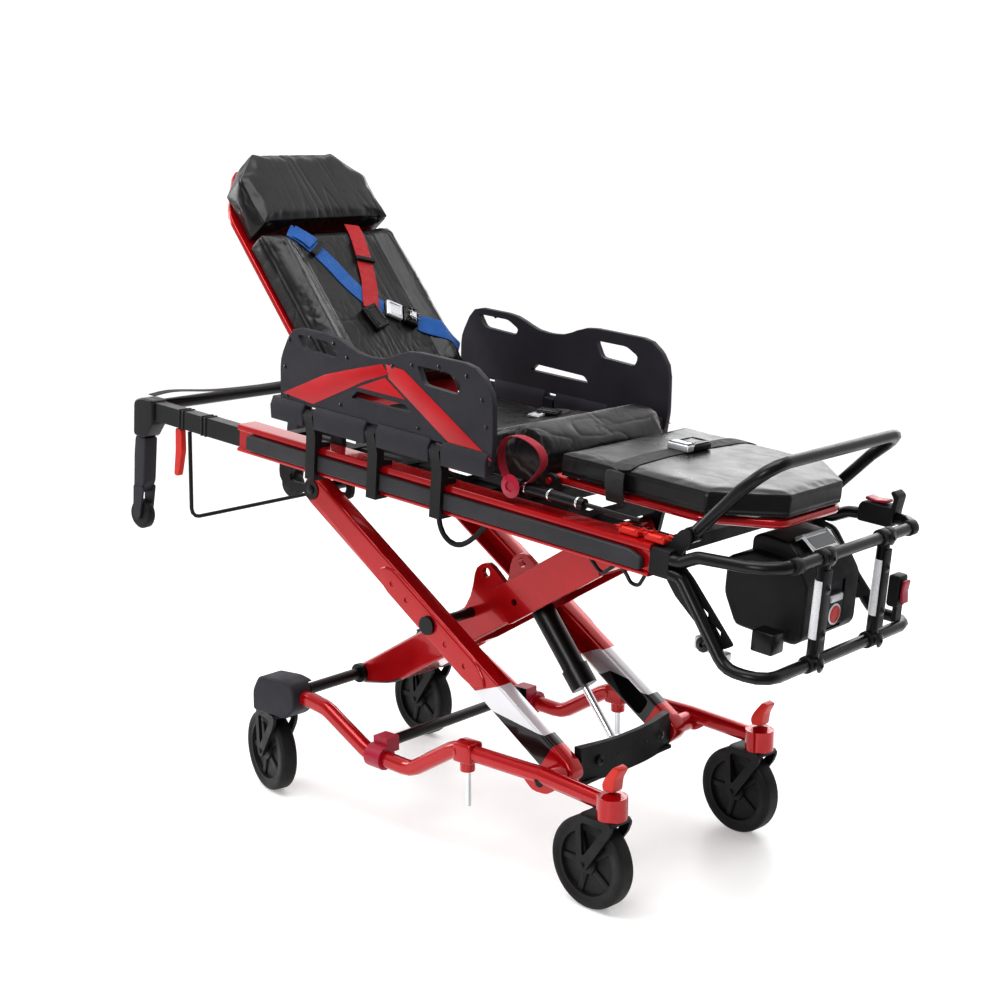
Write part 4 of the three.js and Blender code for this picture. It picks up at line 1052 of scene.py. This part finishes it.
# %% Battery trim
badge_ring = bevel(disc((860.6, 0, -134), 22, 2.4, (1, 0, 0), vertices=40), 0.5, 2)
fitted(badge_ring, "battery_badge_ring", film)
badge = bevel(disc((862, 0, -134), 18, 2.4, (1, 0, 0), vertices=40), 0.5, 2)
fitted(badge, "battery_badge", brake_red)
grip = bevel(block((861, 0, -100), (7, 44, 14)), 2.4, 3)
fitted(grip, "battery_latch", cast_silver)


def glass_material():
    material, tree, shader = new_material("display_glass", (0.008, 0.012, 0.018), 0.08, coat=1.0,
                                          coat_roughness=0.03)
    tree.links.new(ramp(tree, grain(tree, 40), (0.006, 0.010, 0.015), (0.012, 0.018, 0.026)),
                   shader.inputs["Base Color"])
    tree.links.new(ramp(tree, grain(tree, 90), 0.06, 0.12), shader.inputs["Roughness"])
    return material


display_glass = glass_material()
panel_turn = (0, math.radians(38), 0)
panel = bevel(block((813, 0, 5), (44, 96, 4), panel_turn), 1.6, 3)
panelled(panel, lambda centre, normal: normal.z > 0.6, 5, 0.8, -1.2)
fitted(panel, "console_panel", cast_silver)
screen = bevel(block((813.6, 0, 6), (30, 78, 3), panel_turn), 0.5, 1)
fitted(screen, "console_screen", display_glass)

# %% [markdown]
# A red clamp holds each vehicle-lock pin to its base tube.

# %% Pin clamps
for side, sign in (("r", -1), ("l", 1)):
    pin = frame["record"]["mounts"][sign > 0]["pos_m"]
    x, y = pin[0] / MM, pin[1] / MM
    clamp = join([bevel(block((x, y, 256), (52, 46, 46)), 6, 3), bevel(disc((x, y, 226), 17, 30), 3, 3),
                  bevel(disc((x - 18, y, 256), 25, 9, (1, 0, 0)), 2, 2)])
    smooth(dress(clamp, "pin_clamp_" + side, red_paint, "base"), 35)

# %% [markdown]
# Small alloy brackets join the lower cage tubes to the struts under the litter, each with a bolt.

# %% Strut brackets
brackets, bracket_spots = [], []
for sign in (-1, 1):
    for x, z, size in ((700, -196, (42, 30, 26)), (738, -214, (22, 34, 18))):
        brackets.append(bevel(block((x, sign * 200, z), size), 3, 3))
    bracket_spots.append((litter.at(700, sign * 216, -196), Vector((0, sign, 0))))
fitted(join(brackets), "strut_brackets", cast_silver)
screws("bracket_bolts", bracket_spots, 7, 4, satin_black, "litter")

# %% [markdown]
# ## Buckles
# Each buckle is a small box with a softened edge and a sunk panel, laid on the belt's surface and
# turned along the belt.

# %% Buckles
def buckle(name, ground, x, y, angle, size, finish, rise):
    (place, surface, body), (material, slot), (length, width, height) = ground, finish, size
    hit = surface.ray_cast(place.at(x, y, 400), -place.up, 1.0)[0]
    base = (hit - place.origin).dot(place.up) / MM + rise
    piece = bevel(block((0, 0, height / 2), size), min(size) * 0.22, 3)
    panelled(piece, lambda centre, normal: normal.z > 0.9, min(length, width) * 0.18, 0.8, -height * 0.22)
    piece.data.transform(Matrix.Translation(Vector((x, y, base)) * MM)
                         @ Matrix.Rotation(math.radians(angle), 4, "Z"))
    piece.data.transform(place.matrix())
    smooth(dress(piece, name, material, body), 35)


on_back = (back, back_surface_tree, "backrest")
on_seat = (litter, seat_tree, "litter")
on_legs = (legs_up, leg_tree, "leg_section")
black, silver = (satin_black, "satin_black"), (cast_silver, "bright_steel")
buckle("chest_buckle_plate", on_back, -240, 58, 60, (44, 46, 8), silver, 2)
buckle("chest_buckle", on_back, -216, 96, 60, (40, 50, 14), black, 1)
buckle("chest_buckle_button", on_back, -214, 99, 60, (20, 24, 17), silver, 1)
buckle("red_belt_buckle", on_back, -226, -16, 14, (64, 46, 12), black, 2)
buckle("red_belt_slide", on_back, -390, 54, -16, (12, 54, 7), black, 4)
buckle("blue_belt_slide", on_back, -432, -78, 30, (14, 54, 6), black, 2)
buckle("lap_buckle", on_seat, 42, 66, -70, (42, 48, 9), black, 2)
buckle("lap_tongue", on_seat, 36, 30, -78, (34, 30, 5), silver, 1)
buckle("leg_buckle", on_legs, leg_x + 2, 40, 90, (64, 54, 13), black, 2)
buckle("leg_buckle_frame", on_legs, leg_x, 2, 90, (26, 56, 15), silver, 2)

# %% [markdown]
# ## Loose straps and small rail fittings
# A crimson loop is the pull for the gas spring. Black webbing crosses the head end. A bent wire
# under the rail near the foot carries bags.

# %% Straps and fittings
RAIL_MIDDLE, TUBE_MIDDLE, LEG_LENGTH, LEG_FACE = -262, 259, 926, 212
loop = [(238, 28), (206, 52), (188, 92), (204, 128), (246, 140), (288, 124), (302, 92), (280, 56), (250, 30)]
loop_points = [litter.at(x, RAIL_MIDDLE - 6 * math.sin(x / 30), z) for x, z in loop]
ribbon("pull_loop", free_rows(loop_points, [Vector((0, 1, 0))] * len(loop), 26), crimson_webbing, "litter",
       2.0)
head_strap = [litter.at(*point) for point in ((-1000, -250, -6), (-978, -196, 4), (-950, -80, -2),
                                              (-940, 60, -4), (-926, 170, 0), (-905, 236, -4))]
ribbon("head_webbing", free_rows(head_strap, [litter.along] * len(head_strap), 28), black_webbing,
       "head_frame", 2.0)
hook_route = [(436, -62), (448, -78), (474, -95), (494, -82), (514, -69), (534, -82), (548, -97),
              (566, -98), (576, -84), (586, -62)]
tube_along("bag_hooks", [litter.at(x, RAIL_MIDDLE, z) for x, z in hook_route], 4, satin_black, "litter",
           4)
spring_rings = join([bevel(disc((x, -264, 34), 13.2, 5, (1, 0, 0)), 0.8, 2) for x in (266, 330, 404)])
fitted(spring_rings, "spring_rings", bright_steel)
knob = bevel(disc((240, -284, 36), 16, 9, (0, -1, 0)), 2.2, 3)
panelled(knob, lambda centre, normal: normal.y < -0.9, 4, 1, -1.5)
fitted(knob, "spring_knob", crimson)
for number, x in enumerate((540, 604)):
    latch = bevel(block((x, RAIL_MIDDLE, 8), (48, 28, 14)), 3, 3)
    panelled(latch, lambda centre, normal: normal.z > 0.9, 5, 1, 2.5)
    fitted(latch, f"rail_latch_{number + 1}", brake_red)
bands = [bevel(block((x, y, -36), (7, 38, 50)), 2, 2) for y in (-TUBE_MIDDLE, TUBE_MIDDLE)
         for x in (-752, -766, -838, -852)]
fitted(join(bands), "head_tube_bands", black_plastic, "head_frame")
pivot_spots = [(leg_place.at(run, sign * LEG_FACE, 0), Vector((0, sign, 0))) for sign in (-1, 1)
               for run in (LEG_LENGTH / 2, LEG_LENGTH)]
screws("leg_bolts", pivot_spots, 11, 6, satin_black, "legs")
beam_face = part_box("foot_beam")[1].x - 4 * MM
beam_spots = [(Vector((beam_face, y, 0.25)), Vector((1, 0, 0))) for y in (-0.11, -0.05, 0.05, 0.11)]
screws("beam_screws", beam_spots, 5, 3, satin_black, "base")
